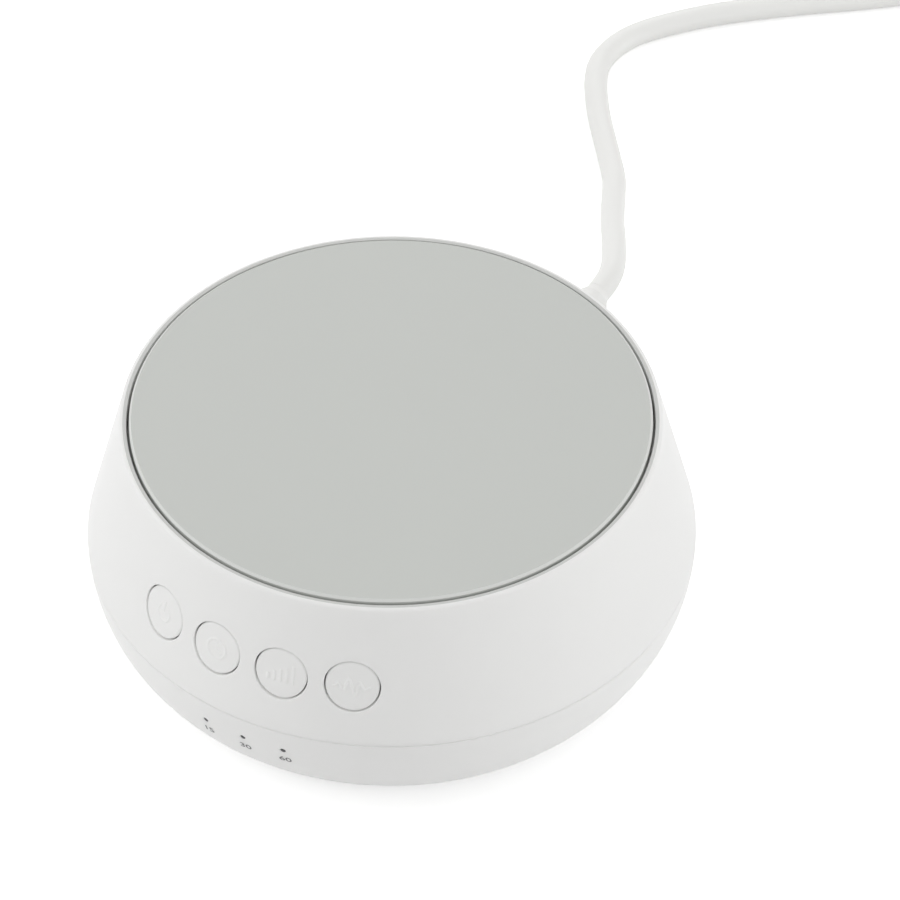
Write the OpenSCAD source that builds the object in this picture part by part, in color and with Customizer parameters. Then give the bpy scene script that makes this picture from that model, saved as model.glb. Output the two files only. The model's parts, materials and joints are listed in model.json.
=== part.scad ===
// White noise sound machine: a round, waisted table unit with a flat disc cover over an
// upward-firing loudspeaker, four push buttons, three timer lights and a lead at the back.
// Millimetres. +Z is up, the table is z = 0, the buttons face -Y and the lead leaves at +Y.

/* [Housing] */
// Greatest diameter, where the two halves of the housing meet
body_d = 115; // [112:0.5:122]
// Height of the rim round the disc above the table
body_h = 52.5; // [51.5:0.5:58]
// Diameter of the rim's crest
rim_d = 100; // [99:0.2:102]
// Wall of both halves of the housing
wall_t = 2.2; // [1.8:0.1:2.4]
// Radius of the round just above the joint line
belly_r = 6; // [3:0.5:10]
// Radius of the lower half's bowl
bowl_r = 27; // [25.5:0.5:28]
// Radius of the round between the bowl and the flat base
base_round_r = 12; // [10:0.5:13]
// Radius of the rim's inner edge, above the ledge
rim_r = 0.4; // [0.3:0.05:0.4]
// Radius of the rim's outer edge
rim_edge_r = 0.35; // [0.25:0.05:0.6]
// Width of the ledge between the rim and the sound slot
ledge_w = 0.5; // [0.3:0.05:0.6]
// Drop of the ledge below the rim, more than the rim's inner radius
ledge_drop = 0.45; // [0.45:0.05:1]

/* [Top cover] */
// Width of the sound slot between the disc and the rim
slot_w = 0.5; // [0.4:0.05:1]
// Thickness of the disc
cover_t = 2.2; // [1.8:0.1:2.8]
// Height of the disc above the rim
cover_proud = 0.4; // [0.1:0.1:0.8]
// Height of the air space under the disc
plenum_h = 2.9; // [2.2:0.1:3.6]
// Thickness of the deck that carries the loudspeaker
deck_t = 2; // [1.8:0.1:2.4]

/* [Buttons] */
// Diameter of each button's opening
button_hole_d = 10.4; // [9:0.1:10.8]
// Angle from one button to the next
button_step = 14.1; // [13.6:0.1:15]
// Drop of the buttons' centres below the rim
button_drop = 16.15; // [15.8:0.05:17]
// Gap between a button and its opening
button_gap = 0.25; // [0.15:0.05:0.35]
// How far a button goes in
button_travel = 0.6; // [0.3:0.1:0.7]

/* [Timer lights] */
// Diameter of the light holes
light_d = 1.1; // [0.8:0.1:1.4]
// Angle from one light hole to the next
light_step = 8.2; // [7.6:0.1:9]
// Drop of the light holes below the joint line
light_drop = 5.2; // [4.6:0.1:6]

/* [Loudspeaker] */
// Diameter of the basket's flange
flange_d = 52; // [50:0.5:54]
// Depth of the loudspeaker from flange to back plate
speaker_depth = 22.3; // [21.5:0.1:23]
// Diameter of the magnet
magnet_d = 36; // [32:0.5:38]
// Diameter of the voice coil
coil_d = 13.2; // [12:0.1:14]
// How far the cone moves each way
cone_stroke = 1; // [0.5:0.1:1.2]

/* [Boards] */
// Thickness of the circuit boards
board_t = 1.6; // [1.2:0.1:1.8]
// Diameter of the main board
board_d = 82; // [78:0.5:83]
// Height of the main board's standoffs
standoff_h = 2.2; // [1.8:0.1:2.6]

/* [Feet and screws] */
// How far the rubber feet stand out of the base
foot_h = 1.4; // [1:0.1:2]
// Diameter of the rubber feet
foot_d = 11; // [8:0.5:12]
// Diameter of the housing screws
screw_d = 2.8; // [2.4:0.1:3]

/* [Lead] */
// Diameter of the lead
cord_d = 5; // [4.4:0.1:5]
// Diameter of the plug's grip
plug_d = 9.4; // [8.6:0.1:9.8]

/* [Hidden] */
$fn = 96;

// colours
shell_white = [0.93, 0.93, 0.92];
disc_grey = [0.76, 0.77, 0.75];
lead_white = [0.9, 0.9, 0.88];
board_green = [0.1, 0.36, 0.22];
chip_black = [0.1, 0.1, 0.11];
steel = [0.72, 0.73, 0.75];

// common clearances and small steps
fit = 0.3;
pin_fit = 0.05;
seam_break = 0.3;
cut = 1;

// profile of the housing
body_r = body_d / 2;
base_turn = 46;
joint_z = foot_h + base_round_r + (bowl_r - base_round_r) * sin(base_turn);
floor_z = foot_h + wall_t;
belly_c = [body_r - belly_r, joint_z];
rim_flat = 0.1;
rim_c = [rim_d / 2 - rim_flat, body_h - rim_r];
rim_edge_c = [rim_d / 2, body_h - rim_edge_r];
bowl_c = [body_r - bowl_r, joint_z];
base_c = bowl_c + (bowl_r - base_round_r) * [cos(base_turn), -sin(base_turn)];
rim_way = rim_edge_c - belly_c;
wall_a = atan2(rim_way[1], rim_way[0]) - acos((belly_r - rim_edge_r) / norm(rim_way));
recess_r = rim_c[0] - rim_r - ledge_w;
ledge_round = 0.15;
arc_n = 12;

// tongue of the upper half inside the lower half
tongue_t = wall_t / 2 - 0.1;
tongue_h = 2;

// heights of the deck and the cover
cover_z = body_h + cover_proud - cover_t;
deck_z = cover_z - plenum_h;
deck_low = deck_z - deck_t;
cover_r = recess_r - slot_w;
cover_bevel = 0.5;
cover_low_bevel = 0.3;
cover_post_d = 6;
cover_posts = [45, 135, 225, 315];
cover_screw_bite = 3.9;
small_screw_d = 1.8;
small_head_d = 4;
small_head_h = 1.4;
head_gap = 2;

// screws through the base
column_angles = [60, 120, 240, 300];
column_r = 38;
column_d = 7;
sleeve_d = 8.4;
head_d = 5.6;
head_h = 1.8;
web_t = 1.4;
column_z = joint_z - 4.2;
screw_seat_z = column_z - 7;
screw_bite = 9;

// feet
foot_angles = [45, 135, 225, 315];
foot_r = 31;
foot_sunk = 1;

// buttons, in the front frame where -Y is outwards
button_angles = [-1.5, -0.5, 0.5, 1.5] * button_step;
button_z = body_h - button_drop;
cap_d = button_hole_d - 2 * button_gap;
button_face_r = skin_r(button_z, 0);
collar_t = 0.8;
collar_d = button_hole_d + 2 * collar_t;
collar_back_r = skin_r(button_z + collar_d / 2, wall_t) - 0.8;
ear_front_r = collar_back_r - fit;
ear_t = 1.2;
ear_w = 7;
ear_back_r = ear_front_r - ear_t;
plunger_d = 4;
plunger_back_r = ear_back_r - 2.4;
cap_sink = 0.12;

// key board and its switches
key_z = button_z - 2.3;
key_t = 1.2;
key_low = key_z - key_t;
switch_front_r = plunger_back_r - button_travel - fit;
switch_depth = 4;
switch_w = 6;
switch_h = 4.6;
stem_d = 2.4;
stem_back_r = switch_front_r - 1;
stem_hole_back_r = stem_back_r - button_travel - 2 * fit;
key_out_r = switch_front_r + 0.6;
key_in_r = key_out_r - 11.5;
key_half_a = button_angles[3] + 7;
key_boss_angles = [-1, 1] * button_step;
key_boss_r = key_in_r + 3;
key_boss_d = 5.6;
key_screw_bite = 5;

// loudspeaker, hung under the deck
gasket_t = 1;
gasket_w = 2.5;
flange_t = 1;
flange_z = deck_low - gasket_t;
mouth_r = flange_d / 2 - 4.5;
deck_mouth_r = mouth_r + 1.2;
ear_d = 5.6;
ear_screw_r = flange_d / 2 + ear_d / 2 + 0.4;
cover_post_r = ear_screw_r + (ear_d + small_head_d) / 2 + head_gap;
back_z = flange_z - speaker_depth;
plate_t = 2.5;
magnet_z = back_z + plate_t;
top_plate_z = flange_z - 12.8;
basket_floor_z = top_plate_z + plate_t;
neck_r = magnet_d / 2 - 2;
coil_r = coil_d / 2;
coil_t = 0.35;
pole_r = coil_r - coil_t - fit;
gap_r = coil_r + fit;
cone_low_z = basket_floor_z + 4;
cone_top_z = flange_z - cone_stroke - fit;
cone_r = mouth_r - 3;
cone_t = 0.5;
cone_in_z = cone_low_z + 1.4;
surround_t = 0.5;
land_r = flange_d / 2 - gasket_w - 0.1;
spider_z = basket_floor_z + 2.4;
spider_t = 0.35;
ledge_r = neck_r - 3;
neck_top_z = basket_floor_z + 4;
basket_t = 0.8;
terminal_z = basket_floor_z + 3;
tab_x = mouth_r + 1;
wire_d = 1.2;
speaker_screw_angles = [45, 135, 225, 315];
speaker_screw_bite = 1.4;
grille_t = 1;
grille_bar = 1.2;
grille_rings = [6.5, 11.5, 16.5];

// boards
board_z = floor_z + standoff_h;
board_top = board_z + board_t;
board_r = board_d / 2;
board_screw_d = 2;
board_screw_bite = 3.2;
standoff_d = 5;
sound_chip_at = [-11, 9, board_top];
amplifier_at = [13, 12, board_top];
socket_x = tab_x + 2;
speaker_socket_h = 5;
speaker_socket_w = 6;
socket_h = 2.5;
key_socket_h = 2;
ribbon_y = 28.5;
key_ribbon_y = key_in_r + 2.6;
ribbon_w = 7;
ribbon_t = 0.3;

// jack and plug, on one axis along +Y
jack_rise = 6.5;
jack_z = board_top + jack_rise;
jack_w = 9;
jack_h = 11;
jack_len = 14;
jack_front = bowl_in_r(board_top) - 0.6;
tab_w = 11;
tab_end = bowl_in_r(board_z) - 1.2;
tunnel_gap = 0.5;
tunnel_wall = 1.2;
tunnel_d = plug_d + 2 * tunnel_gap;
barrel_d = 5.5;
barrel_len = 9.5;
pin_d = 2;
plug_front = jack_front + fit;
socket_gap = 1.5;
side_hole = socket_x + (speaker_socket_w + small_head_d) / 2 + socket_gap;
front_hole = -19;
rear_hole = jack_front - jack_len - small_head_d / 2 - 2 * head_gap;
board_holes = [[side_hole, 0], [-side_hole, 0], [0, front_hole], [0, rear_hole]];
plug_end = 86.2;
relief_d = 6.9;

// timer lights
light_z = joint_z - light_drop;
light_angles = [-1, 0, 1] * light_step;
light_skin = 0.9;
light_out_r = bowl_c[0] + sqrt(pow(bowl_r, 2) - pow(light_drop, 2));
pipe_d = 2.2;
pipe_r = board_r - 2.4;
led_h = 1.4;
pipe_bar_z = board_top + led_h + 2.4;

// The lead runs from the plug down to the table and away to the right, then into its coil.
cord_r = cord_d / 2;
lead_route = [
    [0, 86.2, 13.9], [0, 90, 13.8], [-0.7, 94, 13.4], [-2.4, 98.5, 12.6],
    [-5.9, 105.5, 10.8], [-10.2, 113.5, 8.2], [-14.2, 122, 5.3], [-18, 130, 3.3],
    [-22, 136, 2.6], [-26, 141.5, 2.5],
    [-30, 147, 2.5], [-33.5, 152.5, 2.5], [-36.5, 158, 2.5], [-38.5, 164, 2.5],
    [-38, 171, 2.5], [-35.5, 177, 2.5], [-31, 183, 2.5], [-25, 189.5, 2.5],
    [-17, 196.5, 2.5], [-8, 203.5, 2.5], [1, 210, 2.5], [10, 217, 2.5], [19, 224, 2.5],
    [28, 232, 2.5], [36, 241, 2.6], [42, 250, 2.9], [45.5, 259, 3.3], [47, 266, 3.6],
    [47, 269, 3.6]
];

// The unseen length lies as a round coil of two layers: in along the table, up, and out again.
tie_t = 0.8;
coil_pitch = cord_d + 0.5;
coil_low_z = tie_t + fit + cord_r;
coil_out_r = 38;
coil_in_turns = 3.5;
coil_out_turns = 3;
coil_start = [47, 274];
coil_c = coil_start - [coil_out_r, 0];
tie_w = 6;
coil_rings = 24;
coil_dip = coil_pitch / 4;
coil_in_r = coil_out_r - coil_in_turns * coil_pitch;
coil_end_r = coil_in_r + coil_out_turns * coil_pitch;
coil_exit_len = 26;
coil_top_z = coil_low_z + coil_pitch;

// wall adapter at the lead's end
adapter_w = 36;
adapter_len = 56;
adapter_h = 27;
adapter_relief = 16;
adapter_corner = 5;
adapter_seam = 0.4;
adapter_seam_z = adapter_h * 0.7;
adapter_y = coil_c[1] + coil_exit_len;
blade_step = 12.7;
blade_len = 16;

// ---------- functions ----------

// points of a round stretch, centre c, from angle a to angle b
function arc(c, r, a, b, n = arc_n) =
    [for (i = [0:n]) let (t = a + (b - a) * i / n) c + r * [cos(t), sin(t)]];

// radius of the cone-shaped upper wall at height z, the given depth below its skin
function skin_r(z, depth) =
    belly_c[0] + (belly_r - depth - (z - belly_c[1]) * sin(wall_a)) / cos(wall_a);

// radius of the inside of the bowl at height z
function bowl_in_r(z) = (z > base_c[1] - base_round_r * sin(base_turn)) ?
    bowl_c[0] + sqrt(pow(bowl_r - wall_t, 2) - pow(bowl_c[1] - z, 2)) :
    base_c[0] + sqrt(pow(base_round_r - wall_t, 2) - pow(base_c[1] - z, 2));

// outer line of the upper half, the given depth below its skin, from the joint upwards
function upper_line(depth) = concat(
    arc(belly_c, belly_r - depth, 0, wall_a, 4),
    [[skin_r(deck_low, depth), deck_low]]
);

// outer line of the lower half, the given depth below its skin, from the joint to the base
function lower_line(depth) = concat(
    arc(bowl_c, bowl_r - depth, 0, -base_turn),
    [for (i = [1:arc_n]) let (t = -base_turn - (90 - base_turn) * i / arc_n)
        base_c + (base_round_r - depth) * [cos(t), sin(t)]]
);

function unit(v) = v / norm(v);

// direction of a path at its point i
function way(path, i) = unit(path[min(i + 1, len(path) - 1)] - path[max(i - 1, 0)]);

// one ring of a tube, square to the path
function ring(path, i, r, sides, up) =
    let (w = way(path, i), s = unit(cross(w, up)), v = cross(s, w))
    [for (k = [0:sides - 1]) path[i] + r * (cos(360 * k / sides) * s + sin(360 * k / sides) * v)];

// a point of the coil at turning angle t
function coil_point(t) =
    let (t1 = 360 * coil_in_turns, t2 = t1 + 180, u = (t - t1) / 180,
        r = t < t1 ? coil_out_r - coil_pitch * t / 360 :
            t < t2 ? coil_in_r - coil_dip * sin(180 * u) :
            coil_in_r + coil_pitch * (t - t2) / 360,
        z = t < t1 ? coil_low_z : t < t2 ? coil_low_z + coil_pitch * u : coil_top_z)
    [coil_c[0] + r * cos(t), coil_c[1] + r * sin(t), z];

coil_sweep = 360 * (coil_in_turns + coil_out_turns) + 180;
coil_steps = coil_sweep / 360 * coil_rings;
coil_turns = [for (i = [0:coil_steps]) coil_point(coil_sweep * i / coil_steps)];
coil_path = concat(
    [coil_turns[0] - [0, cord_d, 0]],
    coil_turns,
    [coil_turns[coil_steps] + [0, cord_d, 0], coil_turns[coil_steps] + [0, coil_exit_len, 0]]
);

// least distance between stretches of the coil that lie more than half a turn apart
coil_gap = min([for (i = [0:coil_steps]) for (j = [i + coil_rings / 2:coil_steps])
    norm(coil_turns[i] - coil_turns[j])]) - cord_d;
echo(least_gap_of_the_coil_to_itself = coil_gap);

// ---------- helpers ----------

// turns a shape built at the front, -Y, to an angle about the middle
module at_angle(a) rotate([0, 0, a]) children();

// a round bar along the outward direction at the front, between two radii
module front_bar(d, r_in, r_out, z) {
    translate([0, -r_out, z]) rotate([-90, 0, 0]) cylinder(d = d, h = r_out - r_in);
}

// a box at the front between two radii, centred on width and starting at height z
module front_box(w, r_in, r_out, z, h) {
    translate([-w / 2, -r_out, z]) cube([w, r_out - r_in, h]);
}

// full solid inside the skin of the upper half
module upper_fill(depth) {
    rotate_extrude() polygon(concat([[0, deck_low], [0, joint_z]], upper_line(depth)));
}

// full solid inside the skin of the lower half
module lower_fill(depth) {
    rotate_extrude() polygon(concat(
        [[0, joint_z]], lower_line(depth), [[0, base_c[1] - base_round_r + depth]]));
}

// round tube along a path
module tube(path, r, sides, up = [0, 0, 1]) {
    n = len(path);
    points = [for (i = [0:n - 1]) each ring(path, i, r, sides, up)];
    walls = [for (i = [0:n - 2]) for (k = [0:sides - 1])
        let (a = i * sides + k, b = i * sides + (k + 1) % sides)
        each [[a, b, b + sides], [a, b + sides, a + sides]]];
    first = [for (k = [1:sides - 2]) [0, k + 1, k]];
    last = [for (k = [1:sides - 2]) let (e = (n - 1) * sides) [e, e + k, e + k + 1]];
    polyhedron(points, concat(walls, first, last), convexity = 8);
}

// screw pointing up, its head's underside at the origin
module screw(d, head, head_height, length) {
    difference() {
        union() {
            translate([0, 0, -head_height]) cylinder(d = head, h = head_height, $fn = 32);
            cylinder(d = d, h = length - d / 3, $fn = 32);
            translate([0, 0, length - d / 3]) cylinder(d1 = d, d2 = d / 3, h = d / 3, $fn = 32);
        }
        for (a = [0, 90]) rotate([0, 0, a])
            translate([-head * 0.3, -head * 0.07, -head_height - cut])
                cube([head * 0.6, head * 0.14, head_height * 0.55 + cut]);
    }
}

// ---------- housing ----------

// the upper half's wall with its rim, the deck and the tongue that enters the lower half
module upper_wall() {
    belly = [for (p = arc(belly_c, belly_r, 0, wall_a, 8)) if (p[1] > joint_z + seam_break) p];
    inner = upper_line(wall_t);
    rotate_extrude() polygon(concat(
        [[body_r - seam_break, joint_z]],
        belly,
        arc(rim_edge_c, rim_edge_r, wall_a, 90, 5),
        arc(rim_c, rim_r, 90, 180, 5),
        [[rim_c[0] - rim_r, body_h - ledge_drop]],
        arc([recess_r + ledge_round, body_h - ledge_drop - ledge_round], ledge_round, 90, 180, 3),
        [[recess_r, deck_z], [deck_mouth_r, deck_z], [deck_mouth_r, deck_low]],
        [for (i = [len(inner) - 1:-1:0]) inner[i]],
        [
            [body_r - wall_t, joint_z - tongue_h],
            [body_r - wall_t + tongue_t, joint_z - tongue_h],
            [body_r - wall_t + tongue_t, joint_z]
        ]
    ));
}

// rings and spokes that guard the cone inside the deck's mouth
module mouth_grille() {
    translate([0, 0, deck_z - grille_t]) {
        cylinder(r = grille_bar * 1.5, h = grille_t);
        for (r = grille_rings) difference() {
            cylinder(r = r + grille_bar / 2, h = grille_t);
            translate([0, 0, -cut]) cylinder(r = r - grille_bar / 2, h = grille_t + 2 * cut);
        }
        intersection() {
            cylinder(r = deck_mouth_r + 0.5, h = grille_t);
            for (a = [0:60:120]) rotate([0, 0, a])
                translate([-deck_mouth_r - cut, -grille_bar / 2, 0])
                    cube([2 * (deck_mouth_r + cut), grille_bar, grille_t]);
        }
    }
}

// column that takes a housing screw, with a web to the wall
module screw_column() {
    translate([0, -column_r, column_z]) cylinder(d = column_d, h = deck_low + deck_t / 2 - column_z);
    intersection() {
        upper_fill(wall_t / 2);
        front_box(web_t, column_r, body_r, joint_z + 3, deck_low - joint_z - 3);
    }
}

module upper_housing() {
    color(shell_white) difference() {
        union() {
            upper_wall();
            mouth_grille();
            for (a = column_angles) at_angle(a) screw_column();
            intersection() {
                upper_fill(wall_t / 2);
                for (a = button_angles) at_angle(a)
                    front_bar(collar_d, collar_back_r, body_r, button_z);
            }
            for (a = key_boss_angles) at_angle(a)
                translate([0, -key_boss_r, key_z])
                    cylinder(d = key_boss_d, h = deck_low + deck_t / 2 - key_z);
            for (a = speaker_screw_angles) at_angle(a)
                translate([0, -ear_screw_r, flange_z])
                    cylinder(d = ear_d, h = gasket_t + deck_t / 2);
        }
        for (a = button_angles) at_angle(a)
            front_bar(button_hole_d, collar_back_r - cut, body_r + cut, button_z);
        for (a = column_angles) at_angle(a)
            translate([0, -column_r, column_z - cut])
                cylinder(d = screw_d + 2 * pin_fit, h = screw_bite + cut);
        for (a = key_boss_angles) at_angle(a)
            translate([0, -key_boss_r, key_z - cut])
                cylinder(d = small_screw_d + 2 * pin_fit, h = key_screw_bite + cut);
        for (a = cover_posts) at_angle(a)
            translate([0, -cover_post_r, deck_low - cut])
                cylinder(d = small_screw_d + 2 * fit, h = deck_t + 2 * cut);
        for (a = speaker_screw_angles) at_angle(a)
            translate([0, -ear_screw_r, flange_z - cut])
                cylinder(d = small_screw_d + 2 * pin_fit, h = gasket_t + speaker_screw_bite + cut);
    }
}

// the bowl-shaped wall and the base, with a rebate for the upper half's tongue
module lower_wall() {
    outer = [for (p = lower_line(0)) if (p[1] < joint_z - seam_break) p];
    inner = lower_line(wall_t);
    rebate_r = body_r - wall_t + tongue_t + 0.15;
    rotate_extrude() polygon(concat(
        [[body_r - seam_break, joint_z]],
        outer,
        [[0, foot_h], [0, floor_z]],
        [for (i = [len(inner) - 1:-1:0]) if (inner[i][1] < joint_z - tongue_h - 0.3) inner[i]],
        [[bowl_in_r(joint_z - tongue_h - 0.2), joint_z - tongue_h - 0.2],
         [rebate_r, joint_z - tongue_h - 0.2], [rebate_r, joint_z]]
    ));
}

// sleeve that passes a housing screw, with a web to the wall
module screw_sleeve() {
    translate([0, -column_r, foot_h + wall_t / 2])
        cylinder(d = sleeve_d, h = column_z - 0.2 - foot_h - wall_t / 2);
    intersection() {
        lower_fill(wall_t / 2);
        front_box(web_t, column_r, body_r, foot_h, joint_z - 9 - foot_h);
    }
}

module lower_housing() {
    color(shell_white) difference() {
        union() {
            lower_wall();
            for (a = column_angles) at_angle(a) screw_sleeve();
            for (p = board_holes) translate([p[0], p[1], foot_h + wall_t / 2])
                cylinder(d = standoff_d, h = board_z - foot_h - wall_t / 2);
            intersection() {
                lower_fill(wall_t / 2);
                at_angle(180) front_bar(tunnel_d + 2 * tunnel_wall, plug_front, body_r, jack_z);
            }
        }
        at_angle(180) front_bar(tunnel_d, plug_front - cut, body_r + cut, jack_z);
        for (a = column_angles) at_angle(a) translate([0, -column_r, 0]) {
            cylinder(d = head_d + 2 * fit, h = screw_seat_z);
            cylinder(d = screw_d + 2 * fit, h = column_z + cut);
        }
        for (a = foot_angles) at_angle(a)
            translate([0, -foot_r, foot_h - cut]) cylinder(d = foot_d + 0.2, h = foot_sunk + cut);
        for (p = board_holes) translate([p[0], p[1], board_z - board_screw_bite])
            cylinder(d = board_screw_d + 2 * pin_fit, h = board_screw_bite + cut);
        for (a = light_angles) at_angle(a) {
            front_bar(light_d, body_r - 2 * wall_t, body_r + cut, light_z);
            front_bar(pipe_d + 2 * fit, board_r, light_out_r - light_skin, light_z);
        }
    }
}

module top_cover() {
    color(disc_grey) difference() {
        union() {
            rotate_extrude() polygon([
                [0, cover_z], [cover_r - cover_low_bevel, cover_z],
                [cover_r, cover_z + cover_low_bevel], [cover_r, cover_z + cover_t - cover_bevel],
                [cover_r - cover_bevel, cover_z + cover_t], [0, cover_z + cover_t]
            ]);
            for (a = cover_posts) at_angle(a)
                translate([0, -cover_post_r, deck_z])
                    cylinder(d = cover_post_d, h = plenum_h + cover_t / 2);
        }
        for (a = cover_posts) at_angle(a)
            translate([0, -cover_post_r, deck_z - cut])
                cylinder(d = small_screw_d + 2 * pin_fit, h = cut + cover_screw_bite);
    }
}

module cover_screws() {
    color(steel) for (a = cover_posts) at_angle(a)
        translate([0, -cover_post_r, deck_low])
            screw(small_screw_d, small_head_d, small_head_h, deck_t + cover_screw_bite - fit);
}

module housing_screws() {
    color(steel) for (a = column_angles) at_angle(a)
        translate([0, -column_r, screw_seat_z])
            screw(screw_d, head_d, head_h, column_z - screw_seat_z + screw_bite - fit);
}

module rubber_feet() {
    color([0.3, 0.3, 0.31]) for (a = foot_angles) at_angle(a)
        translate([0, -foot_r, 0]) rotate_extrude() polygon([
            [0, 0], [foot_d / 2 - 0.6, 0], [foot_d / 2, 0.6], [foot_d / 2, foot_h + foot_sunk],
            [0, foot_h + foot_sunk]
        ]);
}

// ---------- buttons and their switches ----------

module button(a) {
    color(shell_white) at_angle(a) {
        intersection() {
            upper_fill(cap_sink);
            front_bar(cap_d, ear_back_r, body_r, button_z);
        }
        front_box(ear_w, ear_back_r, ear_front_r, button_z - collar_d / 2, collar_d);
        front_bar(plunger_d, plunger_back_r, ear_front_r, button_z);
    }
}

module button_power() button(button_angles[0]);
module button_timer() button(button_angles[1]);
module button_volume() button(button_angles[2]);
module button_sound() button(button_angles[3]);

// the switch's own stem, which the button's plunger rests on
module stem(a) {
    color(chip_black) at_angle(a) front_bar(stem_d, stem_back_r, plunger_back_r, button_z);
}

module stem_power() stem(button_angles[0]);
module stem_timer() stem(button_angles[1]);
module stem_volume() stem(button_angles[2]);
module stem_sound() stem(button_angles[3]);

module key_switches() {
    color(chip_black) for (a = button_angles) at_angle(a) difference() {
        front_box(switch_w, switch_front_r - switch_depth, switch_front_r, key_z, switch_h);
        front_bar(stem_d + 2 * fit, stem_hole_back_r, switch_front_r + cut, button_z);
    }
}

// crescent board hung under the deck behind the buttons
module key_board() {
    color(board_green) translate([0, 0, key_low]) linear_extrude(key_t) difference() {
        intersection() {
            circle(r = key_out_r);
            polygon([[0, 0], for (a = [-1, -0.5, 0, 0.5, 1])
                2 * key_out_r * [sin(a * key_half_a), -cos(a * key_half_a)]]);
        }
        circle(r = key_in_r);
        for (a = key_boss_angles) rotate(a) translate([0, -key_boss_r])
            circle(d = small_screw_d + 2 * fit, $fn = 32);
    }
}

module key_board_screws() {
    color(steel) for (a = key_boss_angles) at_angle(a)
        translate([0, -key_boss_r, key_low])
            screw(small_screw_d, small_head_d, small_head_h, key_t + key_screw_bite - fit);
}

// flat cable between the two boards
module key_cable() {
    low = board_top + socket_h;
    high = key_low - key_socket_h;
    line = [[-ribbon_y, low], [-ribbon_y, low + 3], [-key_ribbon_y, high - 3], [-key_ribbon_y, high]];
    color([0.85, 0.86, 0.88]) rotate([90, 0, 90]) translate([0, 0, -ribbon_w / 2])
        linear_extrude(ribbon_w) polygon(concat(
            [for (p = line) p - [ribbon_t / 2, 0]],
            [for (i = [3:-1:0]) line[i] + [ribbon_t / 2, 0]]
        ));
}

// ---------- loudspeaker ----------

module speaker_gasket() {
    color([0.25, 0.25, 0.26]) translate([0, 0, flange_z]) difference() {
        cylinder(d = flange_d, h = gasket_t);
        translate([0, 0, -cut]) cylinder(d = flange_d - 2 * gasket_w, h = gasket_t + 2 * cut);
    }
}

// pressed steel basket: flange with ears, open cone with windows, floor and spider ledge
module speaker_basket() {
    flange_low = flange_z - flange_t;
    color(chip_black) difference() {
        union() {
            rotate_extrude() polygon([
                [flange_d / 2, flange_z], [mouth_r, flange_z], [mouth_r, flange_low],
                [neck_r - basket_t, neck_top_z], [neck_r - basket_t, spider_z],
                [ledge_r, spider_z], [ledge_r, basket_floor_z], [neck_r, basket_floor_z],
                [neck_r, neck_top_z], [mouth_r + basket_t, flange_low],
                [flange_d / 2, flange_low]
            ]);
            for (a = speaker_screw_angles) at_angle(a) translate([0, 0, flange_low]) hull() {
                translate([0, -ear_screw_r, 0]) cylinder(d = ear_d, h = flange_t, $fn = 32);
                translate([0, -mouth_r - 2.5, 0]) cylinder(d = 8, h = flange_t, $fn = 32);
            }
            translate([neck_r - 1, -4, terminal_z]) cube([tab_x + 1.5 - neck_r + 1, 8, 1.2]);
        }
        for (a = [45:90:315]) at_angle(a)
            front_box(13, neck_r + 0.8, mouth_r + 2.4, neck_top_z + 0.4, flange_low - neck_top_z - 1.6);
        for (a = speaker_screw_angles) at_angle(a)
            translate([0, -ear_screw_r, flange_low - cut])
                cylinder(d = small_screw_d + 2 * fit, h = flange_t + 2 * cut);
    }
}

module speaker_top_plate() {
    color(steel) translate([0, 0, top_plate_z]) difference() {
        cylinder(d = magnet_d - 3, h = plate_t);
        translate([0, 0, -cut]) cylinder(r = gap_r, h = plate_t + 2 * cut);
    }
}

module speaker_magnet() {
    color([0.28, 0.28, 0.3]) translate([0, 0, magnet_z]) difference() {
        cylinder(d = magnet_d, h = top_plate_z - magnet_z);
        translate([0, 0, -cut]) cylinder(r = gap_r + 2, h = top_plate_z - magnet_z + 2 * cut);
    }
}

module speaker_yoke() {
    color(steel) rotate_extrude() polygon([
        [0, back_z], [magnet_d / 2 - 1.5, back_z], [magnet_d / 2 - 1.5, magnet_z],
        [pole_r, magnet_z], [pole_r, basket_floor_z - 0.5], [pole_r - 0.5, basket_floor_z],
        [0, basket_floor_z]
    ]);
}

// corrugated disc that centres the voice coil
module speaker_spider() {
    waves = 3;
    rise = 0.6;
    steps = 6 * waves;
    span = ledge_r + 1.2 - coil_r;
    line = [for (i = [0:steps]) [coil_r + span * i / steps,
        spider_z + rise + rise * sin(360 * waves * i / steps - 90)]];
    color([0.8, 0.68, 0.4]) rotate_extrude() polygon(concat(
        line, [for (i = [steps:-1:0]) line[i] + [0, spider_t]]));
}

// half-round rubber roll between the cone's edge and the flange
module speaker_surround() {
    roll_r = (mouth_r + 0.6 - cone_r) / 2;
    roll_c = [cone_r + roll_r, flange_z];
    color([0.16, 0.16, 0.17]) rotate_extrude() polygon(concat(
        [[land_r, flange_z], [land_r, flange_z + surround_t]],
        arc(roll_c, roll_r, 20, 180, 10),
        [[cone_r, flange_z - 0.4], [cone_r + surround_t, flange_z - 0.4]],
        arc(roll_c, roll_r - surround_t, 180, 0, 10)
    ));
}

module speaker_cone() {
    color([0.2, 0.2, 0.21]) rotate_extrude() polygon([
        [coil_r, cone_low_z], [coil_r + cone_t, cone_low_z], [coil_r + cone_t, cone_low_z + 0.6],
        [cone_r + 0.5, cone_top_z - cone_t], [cone_r + 0.5, cone_top_z],
        [cone_r - 0.6, cone_top_z], [coil_r, cone_in_z]
    ]);
}

module voice_coil() {
    low = top_plate_z - plate_t;
    coil_len = cone_low_z + 1 - low;
    color([0.72, 0.45, 0.2]) translate([0, 0, low]) difference() {
        cylinder(r = coil_r, h = coil_len);
        translate([0, 0, -cut]) cylinder(r = coil_r - coil_t, h = coil_len + 2 * cut);
    }
}

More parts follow.
